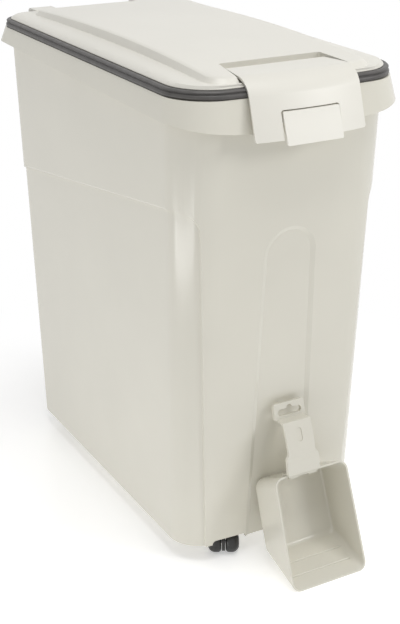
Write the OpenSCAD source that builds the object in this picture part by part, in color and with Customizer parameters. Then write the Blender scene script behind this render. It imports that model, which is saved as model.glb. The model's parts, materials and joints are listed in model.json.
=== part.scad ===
// Wheeled pet food container: a tapered bin on four twin-wheel casters, a hinged
// lid with a seal and an over-centre latch, and a scoop that leans on the front.
// Millimetres. +Z is up and the floor is Z = 0. X = 0 is the bin's plane of
// symmetry and the front faces -Y.

/* [Bin] */
// Height of the skirt's lower edge above the floor
skirt_z = 22; // [18:1:30]
// Height of the rim above the floor
rim_z = 552; // [480:1:620]
// Width of the bin at its skirt
base_w = 235; // [215:1:255]
// Width of the bin wall at the rim
top_w = 252; // [240:1:275]
// Reach of the skirt in front of the origin, at its corners
base_front = 207; // [195:1:220]
// Reach of the skirt behind the origin
base_back = 214; // [200:1:225]
// Reach of the wall in front of the origin at the rim
top_front = 231; // [224:1:245]
// Reach of the wall behind the origin at the rim
top_back = 237; // [230:1:250]
// Front corner radius at the skirt
base_front_r = 33; // [25:1:45]
// Front corner radius at the rim
top_front_r = 42; // [32:1:50]
// Back corner radius at the skirt
base_back_r = 22; // [15:1:35]
// Back corner radius at the rim
top_back_r = 24; // [18:1:40]
// How far the middle of the front face bows out past its corners
front_bow = 6; // [2:0.5:10]
// How far the middle of the back bows out past its corners
back_bow = 2; // [1:0.5:5]
// Wall thickness
wall = 3; // [2:0.1:4]
// Height of the floor panel's underside above the ground
floor_z = 48; // [46:1:56]
// Thickness of the floor panel
floor_t = 3; // [2:0.1:5]

/* [Wall panels] */
// Depth of the side and arch panels
panel_depth = 2.5; // [1:0.1:4]
// Width of the sloping edge round a panel
panel_edge = 2.5; // [1:0.1:5]
// Height of the side panels at the back corner
step_back_z = 375; // [320:1:400]
// Height of the side panels at the front corner
step_front_z = 436; // [402:1:460]
// Corner radius of the side panels beside the front face
panel_r = 25; // [10:1:35]
// Width of the raised front face at the skirt
face_base_w = 176; // [150:1:190]
// Width of the raised front face at the top of the side panels
face_top_w = 206; // [180:1:215]
// Width of the arch at the skirt
arch_base_w = 82; // [60:1:100]
// Width of the arch where its round top starts
arch_top_w = 66; // [50:1:90]
// Height of the arch's crown above the floor
arch_z = 406; // [340:1:420]

/* [Rim collar] */
// How far the rim stands out from the side walls
rim_out = 7.5; // [5:0.5:12]
// How far the rim stands out from the front wall
rim_front_out = 10; // [6:0.5:14]
// How far the rim stands out from the back wall
rim_back_out = 11; // [6:0.5:14]
// How far the collar flares out from rim to lower edge
collar_flare = 5.5; // [3:0.5:9]
// Drop of the collar at the back
collar_back_h = 18; // [14:1:30]
// Drop of the collar at the front corners
collar_front_h = 25; // [18:1:35]
// Extra drop of the collar at the middle of the front
collar_dip = 13; // [5:1:18]
// Thickness of the collar
collar_t = 3; // [2:0.1:4]

/* [Lid] */
// Height of the seal between rim and lid
seal_h = 11; // [8:0.5:14]
// Width of the seal
seal_w = 9; // [7:0.5:11]
// Bulge of the seal past the rim
seal_bulge = 1.5; // [0.5:0.1:3]
// Inset of the seal's foot from the rim
seal_inset = 0.5; // [0.2:0.1:1.5]
// Inset of the seal's upper edge
seal_top_inset = 2.5; // [1.5:0.1:3.5]
// Inset of the lid's edge from the rim
lid_inset = 5.5; // [4:0.5:8]
// Width of the sloping border round the raised top
border_w = 33; // [24:1:40]
// Height of the lid's peak above its seat on the seal
lid_rise = 15.5; // [13:0.5:22]
// Drop of the raised top from its peak to its back end
crown = 8; // [3:0.5:9]
// Thickness of the lid
lid_t = 2.5; // [2:0.1:3.5]
// Height of the lid's outer edge
edge_h = 1.6; // [1:0.1:2.4]
// Reach of the lid's peak in front of the origin
peak_front = 20; // [0:1:50]
// Inset of the raised top from the lid's front edge
raised_front = 8; // [6:0.5:12]
// Inset of the raised top from the lid's back edge
raised_back = 20; // [14:0.5:28]
// Front corner radius of the raised top
raised_front_r = 17; // [10:0.5:24]
// Back corner radius of the raised top
raised_back_r = 15; // [10:0.5:22]
// Run of the slope from the raised top to the border
raised_slope = 4; // [2.5:0.1:6]
// Length of the latch's notch behind the lid's front edge
notch_l = 53.5; // [50:0.5:58]

/* [Lid hinge] */
// Distance of each hinge from the middle
hinge_x = 72; // [50:1:85]
// Width of a lid knuckle
knuckle_w = 30; // [16:1:40]
// Radius of the hinge barrels
barrel_r = 5.5; // [4.5:0.1:6.5]
// Radius of the hinge pins
pin_r = 2.5; // [1.5:0.1:3]
// Thickness of a hinge ear
ear_t = 5; // [3:0.5:8]
// Distance of the hinge axis behind the rim
hinge_back = 12; // [11:0.5:16]
// Height of the hinge axis above the rim
hinge_up = 4; // [3:0.5:5]

/* [Latch] */
// Width of the latch at its hinge
latch_rear_w = 120; // [100:1:130]
// Width of the latch at its front
latch_w = 132; // [122:1:145]
// Thickness of the latch
latch_t = 2.4; // [1.8:0.1:2.8]
// Length of the latch's flat top
latch_top_l = 44.5; // [37:0.5:52]
// Outer radius of the fold over the rim
fold_r = 25.5; // [24:0.5:30]
// Lean of the latch's front
latch_lean = 18; // [10:1:24]
// Drop of the latch's front below the rim
latch_drop = 41; // [32:1:50]
// Bow of the latch's front at its middle
latch_bow = 6; // [2:0.5:9]
// Radius of the latch pin
latch_pin_r = 1.5; // [1:0.1:1.8]
// Wall of the latch's barrel round its pin
latch_barrel_wall = 1.6; // [1:0.1:2]
// Drop of the barrel below the latch's top
latch_barrel_drop = 0.4; // [0.2:0.1:0.8]
// Height of the latch's top above the lid's seat
latch_h = 7.7; // [7.4:0.1:9]
// Distance of the latch pin in front of its notch's back wall
latch_set = 12; // [11:0.5:14]
// Gap at each side of the latch in its notch
latch_side_gap = 1.5; // [0.8:0.1:2.5]
// Reach of the latch pin into the lid at each end
latch_pin_grip = 5; // [3:0.5:8]

/* [Pull tab] */
// Width of the pull tab
tab_w = 67; // [50:1:80]
// Height of the tab's top edge below the rim
tab_top = 14; // [12:0.5:18]
// Drop of the tab's lip below the rim
tab_drop = 46; // [40:1:54]
// Gap between the tab and the latch
tab_gap = 1.3; // [0.5:0.1:2]
// Radius of the tab's pin
tab_pin_r = 1; // [0.8:0.1:1.2]
// Distance of the tab's pin below its top edge
tab_hinge = 9; // [8:0.5:12]
// Wall of the tab's boss round its pin
tab_boss_wall = 1; // [0.8:0.1:1.4]
// Thickness of the ears that hold the tab's pin
tab_ear_t = 3; // [2:0.1:5]
// How far the tab's lip stands out from the latch
tab_lip_out = 1; // [0.5:0.1:3]

/* [Casters] */
// Distance of the caster stems from the middle
caster_x = 55; // [45:1:60]
// Distance of the caster stems from the inside of the skirt
caster_set = 19.5; // [19:0.5:30]
// Angle that the casters have swivelled to at rest
caster_turn = -29; // [-180:1:180]
// Trail of the caster wheels behind the stem
trail = 12; // [10:0.5:13]
// Radius of a caster wheel
wheel_r = 12.5; // [11.5:0.5:13]
// Width of a caster wheel
wheel_w = 15.8; // [13:0.1:17]
// Thickness of the housing's web between the wheels
web_t = 4.6; // [3:0.1:7]
// Thickness of the housing's hood
hood_t = 1.6; // [1:0.1:2.5]
// Radius of the caster stem
stem_r = 4; // [3:0.1:5]
// Depth of the stem in its socket
socket_h = 16; // [10:1:24]
// Radius of the caster axle
axle_r = 2; // [1.5:0.1:2.5]
// Width of the notch in the skirt over a caster
notch_w = 43; // [30:1:50]
// Height of the notch in the skirt
notch_h = 5; // [3:0.5:8]
// Distance of the notch's middle outward from the stem
notch_out = 6.6; // [0:0.1:9]
// Radius of the wheel's outer shoulder
shoulder = 8.5; // [5:0.1:8.8]
// Height of the housing's web above the floor
web_lift = 1.5; // [1:0.1:4]
// Inset of the hood's sides from the wheels' outer faces
hood_inset = 5.5; // [5:0.1:8]
// Wall of the stem's socket
boss_wall = 4; // [2.5:0.1:6]

/* [Scoop] */
// Width of the scoop's mouth at its top
mouth_top_w = 97; // [80:1:110]
// Width of the scoop's mouth at its bottom
mouth_base_w = 101; // [80:1:115]
// Height of the scoop's mouth
mouth_h = 131; // [110:1:145]
// Depth of the scoop
scoop_depth = 54; // [40:1:70]
// Height of the scoop's deep end
deep_h = 87; // [60:1:95]
// Draft of the scoop's walls from mouth to deep end
scoop_draft = 2; // [0.5:0.1:4]
// Drop of the deep end's top below the mouth's top
deep_drop = 6; // [3:0.5:10]
// Corner radius of the scoop
scoop_r = 11; // [6:1:16]
// Wall thickness of the scoop
scoop_wall = 2.2; // [1.5:0.1:3]
// Lean of the scoop's mouth
scoop_lean = 22; // [12:1:30]
// Sideways place of the scoop on the front
scoop_x = 15; // [-20:1:20]

/* [Scoop handle] */
// Height of the strap from the mouth to its ledge
strap_h = 58; // [55:1:62]
// Lean of the strap where it rises from the mouth
strap_lean = 6; // [2:1:12]
// How far the strap's top bends back
strap_bend = 12; // [6:0.5:15]
// Width of the strap above its foot
strap_w = 35; // [30:1:38]
// Width of the strap under its ledge
strap_top_w = 37; // [32:1:42]
// Thickness of the strap
strap_t = 3.4; // [2.4:0.1:4]
// Width of the strap's foot
foot_w = 42; // [39:1:46]
// Height of the strap's foot above the mouth
foot_h = 20; // [14:1:24]
// How much thicker the foot is than the strap
foot_step = 1.2; // [0.5:0.1:2]
// Depth of the ledge under the handle's head
ledge_l = 13; // [8:0.5:16]
// Lean of the handle's head
head_lean = 16; // [8:1:24]
// Width of the handle's head
head_w = 40; // [36:1:46]
// Height of the handle's head
head_h = 19.5; // [18:0.5:24]
// Width of the hang slot in the head
slot_w = 31; // [22:1:32]
// Height of the hang slot
slot_h = 7.5; // [6:0.5:8]
// Length of the oval dimple in the strap
dimple_h = 16; // [8:0.5:18]
// Width of the oval dimple in the strap
dimple_w = 7; // [3:0.1:9]
// Depth of the oval dimple in the strap
dimple_depth = 1.2; // [0.5:0.1:1.5]
// Corner radius of the head
head_r = 3; // [1:0.1:6]
// Sideways offset of the handle on the mouth's top edge
handle_x = -11; // [-15:1:15]
// Reach of the clip along the scoop's top wall
clip_l = 13; // [8:1:20]
// Thickness of the clip's plates and teeth
hook_t = 2; // [1.5:0.1:3]
// Width of each hook tooth
tooth_w = 10; // [6:0.5:13]
// Length of each hook tooth
tooth_l = 8; // [5:0.5:10]
// Overlap of the clip's plate on the mouth's edge
clip_lip = 3; // [2:0.1:5]
// Height of the clip's plate above the mouth's edge
clip_h = 7; // [5:0.5:9]
// How much thicker the head is than the strap
head_step = 1.5; // [0.5:0.1:3]
// Distance of the dimple's middle above the mouth's edge
dimple_up = 43; // [34:1:46]
// Drop of the hang slot below the middle of the head
slot_drop = 1; // [0:0.1:1.5]

/* [Fits] */
// Gap between pieces that move past each other
move_gap = 0.3; // [0.2:0.05:0.6]
// Radial clearance of a pin or shaft in its running bore
run_gap = 0.05; // [0.02:0.01:0.1]
// Clearance of the clip on the scoop's wall
clip_gap = 0.15; // [0.05:0.05:0.3]

/* [Hidden] */
$fn = 48;

IVORY = [0.87, 0.86, 0.79];
PEARL = [0.91, 0.90, 0.85];
RUBBER = [0.30, 0.29, 0.28];
BLACK = [0.16, 0.16, 0.16];
STEEL = [0.72, 0.72, 0.74];

// An outline is [half width, front reach, back reach, front radius, back radius].
base_size = [base_w / 2, base_front, base_back, base_front_r, base_back_r];
top_size = [top_w / 2, top_front, top_back, top_front_r, top_back_r];
rim_size = [
  top_size[0] + rim_out, top_size[1] + rim_front_out, top_size[2] + rim_back_out,
  top_front_r + rim_out, top_back_r + rim_out
];
collar_size = grow(rim_size, collar_flare);
lid_size = grow(rim_size, -lid_inset);
lid_z = rim_z + seal_h + move_gap;
peak_z = lid_z + lid_rise;
peak_y = -peak_front;
raised_size = [
  lid_size[0] - border_w, lid_size[1] - raised_front, lid_size[2] - raised_back,
  raised_front_r, raised_back_r
];
raised_foot = grow(raised_size, raised_slope);

function lerp(a, b, t) = a + (b - a) * t;
function grow(s, d) = [s[0] + d, s[1] + d, s[2] + d, max(s[3] + d, 1), max(s[4] + d, 1)];
function between(a, b, t) = [for (k = [0:4]) lerp(a[k], b[k], t)];
function body_size(z) = between(base_size, top_size, (z - skirt_z) / (rim_z - skirt_z));
function bow_at(s, x) = front_bow * (1 - pow(x / s[0], 2));

// Right-hand point of an outline at a given x, on the front face or its corner.
function front_point(s, x) =
  let (over = max(x - (s[0] - s[3]), 0))
  [x, -s[1] + s[3] - sqrt(max(pow(s[3], 2) - pow(over, 2), 0)) - bow_at(s, x)];
function corner_point(s, a) =
  let (x = s[0] - s[3] + s[3] * sin(a))
  [x, -s[1] + s[3] - s[3] * cos(a) - bow_at(s, x)];
function side_point(s, t) = [s[0], lerp(-s[1] + s[3], s[2] - s[4], t)];
function rear_bow(s, x) = back_bow * (1 - pow(x / s[0], 2));
function back_point(s, a) =
  let (x = s[0] - s[4] + s[4] * cos(a))
  [x, s[2] - s[4] + s[4] * sin(a) + rear_bow(s, x)];
function rear_point(s, t) =
  let (x = (s[0] - s[4]) * t)
  [x, s[2] + rear_bow(s, x)];

// A closed ring from its right half: the first and last points lie on X = 0.
function mirrored(half) =
  concat(half, [for (i = [len(half) - 2:-1:1]) [-half[i][0], half[i][1], half[i][2]]]);
function lift(p, z) = [p[0], p[1], z];

// Faces of a skin over rings of equal length, listed so that outer walls run downward.
function skin_faces(n, rings) = [
  for (i = [0:rings - 2])
    for (j = [0:n - 1])
      let (k = (j + 1) % n, a = i * n + j, b = i * n + k, c = (i + 1) * n + k, d = (i + 1) * n + j)
        each [[a, b, c], [a, c, d]]
];
function disc_top(n) = [[for (j = [n - 1:-1:0]) j]];
function disc_bottom(n, rings) = [[for (j = [0:n - 1]) (rings - 1) * n + j]];
// Cross-wise strips over a mirrored ring whose height changes along Y.
function strip_top(n) = [
  for (i = [0:n / 2 - 1])
    let (l = (n - i) % n, m = n - i - 1)
      each [[i, l, m], [i, m, i + 1]]
];
function strip_bottom(n, rings) = [for (f = strip_top(n)) [for (k = [2:-1:0]) f[k] + (rings - 1) * n]];
function joined(lists) = [for (part = lists) each part];

module skin(rings, flat_ends) {
  n = len(rings[0]);
  m = len(rings);
  ends = flat_ends
    ? concat(disc_top(n), disc_bottom(n, m))
    : concat(strip_top(n), strip_bottom(n, m));
  polyhedron(joined(rings), concat(skin_faces(n, m), ends), convexity = 8);
}
module skin_loop(rings) {
  n = len(rings[0]);
  polyhedron(joined(concat(rings, [rings[0]])), skin_faces(n, len(rings) + 1), convexity = 8);
}

// Solid of a YZ profile between two X positions.
module along_x(x0, x1) {
  translate([x0, 0, 0])
    rotate([90, 0, 90])
      linear_extrude(x1 - x0)
        children();
}
module rod_x(x0, x1, r) {
  translate([x0, 0, 0])
    rotate([0, 90, 0])
      cylinder(h = x1 - x0, r = r);
}
module both_sides() {
  children();
  mirror([1, 0, 0])
    children();
}

// Bin

arch_r = arch_top_w / 2;
spring_z = arch_z - arch_r;
ARCH = 0;
FACE = 1;
SIDE = 2;
arch_steps = 4;
corner_steps = 6;
side_steps = 4;
back_steps = 5;
rear_steps = 3;

// The columns of the bin's right half: [kind, front x rule or place, value].
function arch_half(z) = lerp(arch_base_w / 2, arch_r, min((z - skirt_z) / (spring_z - skirt_z), 1));
function face_half(z) =
  lerp(face_base_w / 2, face_top_w / 2, min((z - skirt_z) / (step_front_z - skirt_z), 1));
bin_columns = concat(
  [for (i = [0:arch_steps]) [ARCH, "arch", 90 * (1 - i / arch_steps)]],
  [[FACE, "arch edge", 0], [FACE, "face edge", 0], [SIDE, "panel edge", 0]],
  [for (i = [1:corner_steps]) [SIDE, "corner", i / corner_steps]],
  [for (i = [1:side_steps - 1]) [SIDE, "side", i / side_steps]],
  [for (i = [0:back_steps]) [SIDE, "back", 90 * i / back_steps]],
  [for (i = [rear_steps - 1:-1:0]) [SIDE, "rear", i / rear_steps]]
);
function column_point(c, s, z) =
  c[1] == "arch" ? front_point(s, arch_half(z) * cos(c[2])) :
  c[1] == "arch edge" ? front_point(s, arch_half(z) + panel_edge) :
  c[1] == "face edge" ? front_point(s, face_half(z)) :
  c[1] == "panel edge" ? front_point(s, face_half(z) + panel_edge) :
  c[1] == "corner" ? corner_point(s, lerp(edge_angle(s, z), 90, c[2])) :
  c[1] == "side" ? side_point(s, c[2]) :
  c[1] == "back" ? back_point(s, c[2]) :
  rear_point(s, c[2]);
// Height of a side panel's top, round at its corner beside the front face.
function edge_angle(s, z) = asin(min(max(face_half(z) + panel_edge - s[0] + s[3], 0) / s[3], 1));
function corner_arc(s) = s[3] * (90 - edge_angle(s, step_front_z)) * PI / 180;
function round_fall(u) = u < panel_r ? panel_r - sqrt(pow(panel_r, 2) - pow(panel_r - u, 2)) : 0;
function step_z(c) =
  c[1] == "side" ? lerp(step_front_z, step_back_z, c[2]) :
  (c[1] == "back" || c[1] == "rear") ? step_back_z :
  c[1] == "corner" ? step_front_z - round_fall(corner_arc(body_size(step_front_z)) * c[2]) :
  (c[1] == "face edge" || c[1] == "panel edge") ? step_front_z - panel_r :
  max(step_front_z, arch_z + 3 * panel_edge);
function arch_rise(c) = c[0] == ARCH ? arch_r * sin(c[2]) : 0;

// Ring of the wall: row 0 skirt, 1 and 2 below and above the arch's edge,
// 3 and 4 below and above the side panels' edge. d is the inset of the surface.
function row_z(row, c) =
  row == 1 ? spring_z + arch_rise(c) :
  row == 2 ? spring_z + arch_rise(c) + panel_edge :
  row == 3 ? step_z(c) - panel_edge :
  step_z(c);
function sunk(row, c) = (c[0] == ARCH && row <= 1) || (c[0] == SIDE && row <= 3);
function wall_point(c, row, z, d) =
  let (s = grow(body_size(z), -d - (sunk(row, c) ? panel_depth : 0)))
  lift(column_point(c, s, z), z);
function wall_row(row, d) = mirrored([for (c = bin_columns) wall_point(c, row, row_z(row, c), d)]);
function level_row(row, z, d) = mirrored([for (c = bin_columns) wall_point(c, row, z, d)]);
function ring_at(s, z) = mirrored([for (c = bin_columns) lift(column_point(c, s, z), z)]);

function collar_drop(p) =
  let (back_share = (p[1] + collar_size[1]) / (collar_size[1] + collar_size[2]))
  lerp(collar_front_h, collar_back_h, back_share)
    + (p[1] < -collar_size[1] + collar_size[3] ? collar_dip * (1 - pow(p[0] / collar_size[0], 2)) : 0);
function collar_ring(d) =
  let (s = grow(collar_size, -d))
  mirrored([
    for (c = bin_columns)
      let (p = column_point(c, s, rim_z), edge = column_point(c, collar_size, rim_z))
        lift(p, rim_z - collar_drop(edge))
  ]);

module bin_shell() {
  skin(
    [
      level_row(0, floor_z + floor_t, wall),
      wall_row(1, wall),
      wall_row(2, wall),
      wall_row(3, wall),
      wall_row(4, wall),
      level_row(5, rim_z, wall),
      ring_at(rim_size, rim_z),
      collar_ring(0),
      collar_ring(collar_t),
      ring_at(grow(rim_size, -collar_t), rim_z - collar_t),
      level_row(5, rim_z - collar_t, 0),
      wall_row(4, 0),
      wall_row(3, 0),
      wall_row(2, 0),
      wall_row(1, 0),
      level_row(0, skirt_z, 0),
      level_row(0, skirt_z, wall),
      level_row(0, floor_z, wall)
    ],
    true
  );
}

hinge_y = rim_size[2] + hinge_back;
hinge_z = rim_z + hinge_up;
ear_x0 = hinge_x - knuckle_w / 2 - move_gap - ear_t;
ear_x1 = hinge_x + knuckle_w / 2 + move_gap;

module hinge_ear(x) {
  along_x(x, x + ear_t)
    difference() {
      union() {
        translate([hinge_y, hinge_z])
          circle(r = barrel_r);
        polygon([
          [rim_size[2] - collar_t / 2, rim_z - collar_t / 2],
          [rim_size[2] + collar_flare / 2, rim_z - collar_back_h + collar_t],
          [hinge_y + barrel_r * cos(-30), hinge_z + barrel_r * sin(-30)],
          [hinge_y, hinge_z]
        ]);
      }
      translate([hinge_y, hinge_z])
        circle(r = pin_r);
    }
}

// The wheels swivel out under the notches in the skirt.
caster_y_front = -base_front - bow_at(base_size, caster_x) + wall + caster_set;
caster_y_back = base_back - panel_depth - wall - caster_set;
FRONT_LEFT = [-caster_x, caster_y_front];
FRONT_RIGHT = [caster_x, caster_y_front];
BACK_LEFT = [-caster_x, caster_y_back];
BACK_RIGHT = [caster_x, caster_y_back];
CASTERS = [FRONT_LEFT, FRONT_RIGHT, BACK_LEFT, BACK_RIGHT];
notch_x = caster_x + notch_out;
notch_reach = base_front + base_back + 4 * front_bow;

module skirt_notch() {
  translate([notch_x, notch_reach / 2, skirt_z])
    rotate([90, 0, 0])
      linear_extrude(notch_reach)
        union() {
          translate([-notch_w / 2, -notch_h])
            square([notch_w, notch_h]);
          translate([-notch_w / 2 + notch_h, -notch_h])
            square([notch_w - 2 * notch_h, 2 * notch_h]);
          for (side = [-1, 1])
            translate([side * (notch_w / 2 - notch_h), 0])
              circle(r = notch_h);
        }
}

module bin() {
  color(IVORY)
    difference() {
      union() {
        bin_shell();
        for (p = CASTERS)
          translate([p[0], p[1], floor_z])
            cylinder(h = socket_h + floor_t, r = stem_r + boss_wall);
        both_sides() {
          hinge_ear(ear_x0);
          hinge_ear(ear_x1);
        }
      }
      for (p = CASTERS)
        translate([p[0], p[1], floor_z - wall])
          cylinder(h = socket_h + wall, r = stem_r);
      both_sides()
        skirt_notch();
    }
}

// Lid

lid_columns = concat(
  [for (i = [0:3]) ["front", i / 3]],
  [for (i = [1:corner_steps]) ["corner", 90 * i / corner_steps]],
  [for (i = [1:9]) ["side", i / 10]],
  [for (i = [0:back_steps]) ["back", 90 * i / back_steps]],
  [for (i = [rear_steps - 1:-1:0]) ["rear", i / rear_steps]]
);
function lid_point(c, s) =
  c[0] == "front" ? front_point(s, (s[0] - s[3]) * c[1]) :
  c[0] == "corner" ? corner_point(s, c[1]) :
  c[0] == "side" ? side_point(s, c[1]) :
  c[0] == "back" ? back_point(s, c[1]) :
  rear_point(s, c[1]);
function lid_ring(s, z) = mirrored([for (c = lid_columns) lift(lid_point(c, s), z)]);
function crown_z(y) = peak_z - crown * pow((y - peak_y) / (raised_size[2] - peak_y), 2);
// Shares of the rise and of the crown that the foot of the raised top has.
foot_rise = 0.42;
foot_crown = 0.55;
function foot_z(y) =
  lerp(lid_z, peak_z, foot_rise) - crown * foot_crown * pow((y - peak_y) / raised_size[1], 2);
function crown_ring(s, d) =
  mirrored([for (c = lid_columns) let (p = lid_point(c, s)) lift(p, crown_z(p[1]) - d)]);
function foot_ring(s, d) =
  mirrored([for (c = lid_columns) let (p = lid_point(c, s)) lift(p, foot_z(p[1]) - d)]);

// The border runs from the foot of the raised top to the lid's edge, domed a little.
edge_inset = 0.8;
border_dome = 1;
function border_ring(t) = mirrored([
  for (c = lid_columns)
    let (
      foot = lid_point(c, raised_foot),
      p = lid_point(c, between(raised_foot, grow(lid_size, -edge_inset), t)),
      dome = border_dome * 4 * t * (1 - t)
    )
      lift(p, lerp(foot_z(foot[1]), lid_z + edge_h, t) + dome)
]);

// The latch's hinge lies in a notch across the front of the raised top.
notch_back_y = -lid_size[1] + notch_l;
latch_axis_y = notch_back_y - latch_set;
latch_top_z = lid_z + latch_h;
latch_barrel_r = latch_pin_r + latch_barrel_wall;
latch_axis_z = latch_top_z - latch_barrel_r - latch_barrel_drop;
notch_floor_z = latch_axis_z - latch_barrel_r - move_gap;
hollow_size = [
  raised_size[0] - lid_t, -notch_back_y - lid_t - front_bow, raised_size[2] - lid_t,
  raised_size[3] / 2, raised_size[4] - lid_t
];

// Rounding of the raised top's edge, and the flare of the hollow below it.
round_in = 6.5;
round_drop = 2;
hollow_flare = 3;
module lid_shell() {
  skin(
    [
      crown_ring(grow(raised_size, -round_in), 0),
      crown_ring(grow(raised_size, -round_in / 4), round_drop / 4),
      crown_ring(raised_size, round_drop),
      foot_ring(raised_foot, 0),
      border_ring(0.6),
      lid_ring(grow(lid_size, -edge_inset), lid_z + edge_h),
      lid_ring(lid_size, lid_z),
      lid_ring(grow(lid_size, -seal_w), lid_z),
      foot_ring(grow(hollow_size, hollow_flare), lid_t),
      crown_ring(hollow_size, lid_t + round_drop)
    ],
    false
  );
}
// Space swept round the latch's fold, cleared from the lid's edge and the seal.
fold_y = notch_back_y - latch_top_l;
fold_z = latch_top_z - fold_r;
module fold_relief() {
  reach = latch_w / 2 + latch_side_gap / 2;
  along_x(-reach, reach)
    difference() {
      translate([fold_y - 2 * fold_r, fold_z])
        square([2 * fold_r, 2 * fold_r]);
      translate([fold_y, fold_z])
        circle(r = fold_r - latch_t - move_gap);
    }
}
module latch_notch() {
  translate([0, 0, notch_floor_z])
    linear_extrude(peak_z)
      polygon([
        [-latch_rear_w / 2 - latch_side_gap, notch_back_y],
        [latch_rear_w / 2 + latch_side_gap, notch_back_y],
        [latch_w / 2 + latch_side_gap, fold_y],
        [latch_w / 2 + latch_side_gap, -raised_foot[1] - 2 * front_bow],
        [-latch_w / 2 - latch_side_gap, -raised_foot[1] - 2 * front_bow],
        [-latch_w / 2 - latch_side_gap, fold_y]
      ]);
}
// The knuckle's arm leaves the lid's edge and turns down into the barrel.
arm_root = 7;
arm_rise = 0.5;
arm_half = barrel_r * 0.85;
module lid_knuckle() {
  along_x(hinge_x - knuckle_w / 2, hinge_x + knuckle_w / 2)
    difference() {
      union() {
        translate([hinge_y, hinge_z])
          circle(r = barrel_r);
        polygon([
          [lid_size[2] - arm_root, lid_z + arm_rise],
          [hinge_y - arm_half, lid_z + arm_rise],
          [hinge_y - arm_half, hinge_z],
          [hinge_y + arm_half, hinge_z],
          [hinge_y + arm_half, lid_z + arm_rise],
          [hinge_y, lid_z + arm_rise + lid_t],
          [lid_size[2] - arm_root, lid_z + arm_rise + lid_t]
        ]);
      }
      translate([hinge_y, hinge_z])
        circle(r = pin_r + run_gap);
    }
}
latch_pin_half = latch_rear_w / 2 + latch_side_gap + latch_pin_grip;

module lid() {
  block_w = latch_w + 2 * latch_side_gap + 2 * lid_t;
  block_y0 = -raised_size[1] + round_drop;
  color(PEARL)
    difference() {
      union() {
        lid_shell();
        translate([-block_w / 2, block_y0, notch_floor_z - lid_t])
          cube([block_w, notch_back_y + lid_t - block_y0, 1.5 * lid_t]);
        both_sides()
          lid_knuckle();
      }
      latch_notch();
      fold_relief();
      translate([0, latch_axis_y, latch_axis_z])
        rod_x(-latch_pin_half, latch_pin_half, latch_pin_r);
    }
}

module lid_seal() {
  s = grow(rim_size, -seal_inset);
  color(RUBBER)
    difference() {
      skin_loop([
        lid_ring(grow(s, -seal_w), lid_z),
        lid_ring(grow(s, -seal_top_inset), lid_z),
        lid_ring(grow(s, seal_bulge / 2), lerp(lid_z, rim_z, 0.3)),
        lid_ring(grow(s, seal_bulge), lerp(lid_z, rim_z, 0.6)),
        lid_ring(s, rim_z + move_gap),
        lid_ring(grow(s, -seal_w + seal_inset), rim_z + move_gap)
      ]);
      fold_relief();
    }
}

module lid_hinge_pins() {
  color(STEEL)
    both_sides()
      translate([0, hinge_y, hinge_z])
        rod_x(ear_x0, ear_x1 + ear_t, pin_r);
}

// Latch

front_steps = 5;
fold_steps = 6;
latch_columns = 12;
front_len = (fold_z + fold_r * sin(latch_lean) - (rim_z - latch_drop)) / cos(latch_lean);
// Point of the latch's side profile: [y, z, share of the front's bow].
function fold_point(r, a) = [fold_y - r * cos(a), fold_z + r * sin(a), (90 - a) / (90 - latch_lean)];
function front_run(r, l) =
  let (p = fold_point(r, latch_lean))
  [p[0] - l * sin(latch_lean), p[1] - l * cos(latch_lean), 1];
function latch_profile(r) = concat(
  [[latch_axis_y, fold_z + r, 0]],
  [for (i = [0:fold_steps]) fold_point(r, lerp(90, latch_lean, i / fold_steps))],
  [for (i = [1:front_steps]) front_run(r, front_len * i / front_steps)]
);
function latch_half(y) =
  lerp(latch_rear_w, latch_w, min(max((latch_axis_y - y) / (latch_axis_y - fold_y), 0), 1)) / 2;
function latch_ring(u) = [
  for (p = concat(latch_profile(fold_r), [for (q = [len(latch_profile(0)) - 1:-1:0])
      latch_profile(fold_r - latch_t)[q]]))
    [u * latch_half(p[0]), p[0] - latch_bow * p[2] * (1 - u * u), p[1]]
];
module latch_plate() {
  rings = [for (i = [0:latch_columns]) latch_ring(1 - 2 * i / latch_columns)];
  n = len(rings[0]);
  m = len(rings);
  polyhedron(
    joined(rings),
    concat(
      skin_faces(n, m), latch_end(n),
      [for (f = latch_end(n)) [for (k = [2:-1:0]) f[k] + (m - 1) * n]]
    ),
    convexity = 8
  );
}
function latch_end(n) = [
  for (i = [0:n / 2 - 2])
    each [[i, n - 1 - i, n - 2 - i], [i, n - 2 - i, i + 1]]
];

tab_z = rim_z - tab_top;
tab_axis_z = tab_z - tab_hinge;
front_y_at = function (z) front_run(fold_r, (fold_z + fold_r * sin(latch_lean) - z) / cos(latch_lean))[0];
tab_boss_r = tab_pin_r + tab_boss_wall;
tab_axis_y = front_y_at(tab_axis_z) - latch_bow + (latch_t + tab_boss_r + tab_pin_r / 2) / cos(latch_lean);
// The ears start inside the latch's front, where its bow has half run out.
ear_root = front_y_at(tab_axis_z) - latch_bow / 2 + latch_t / 2;
module tab_ear(x) {
  along_x(x, x + tab_ear_t) {
    translate([tab_axis_y, tab_axis_z])
      circle(r = tab_boss_r);
    translate([ear_root, tab_axis_z - tab_boss_r])
      square([tab_axis_y - ear_root, 2 * tab_boss_r]);
  }
}

module latch() {
  opening = tab_w / 2 + tab_gap;
  // The tab pin's bore runs on a little past the ears, through the back of the bowed plate.
  bore_reach = opening + tab_ear_t + tab_gap;
  color(PEARL)
    difference() {
      union() {
        latch_plate();
        translate([0, latch_axis_y, latch_axis_z])
          rod_x(-latch_rear_w / 2, latch_rear_w / 2, latch_barrel_r);
        both_sides()
          tab_ear(opening);
      }
      translate([-opening, -2 * rim_size[1], 0])
        cube([2 * opening, 2 * rim_size[1] + fold_y, tab_z + tab_gap]);
      translate([0, latch_axis_y, latch_axis_z])
        rod_x(-latch_rear_w, latch_rear_w, latch_pin_r + run_gap);
      translate([0, tab_axis_y, tab_axis_z])
        rod_x(-bore_reach, bore_reach, tab_pin_r);
    }
}

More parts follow.
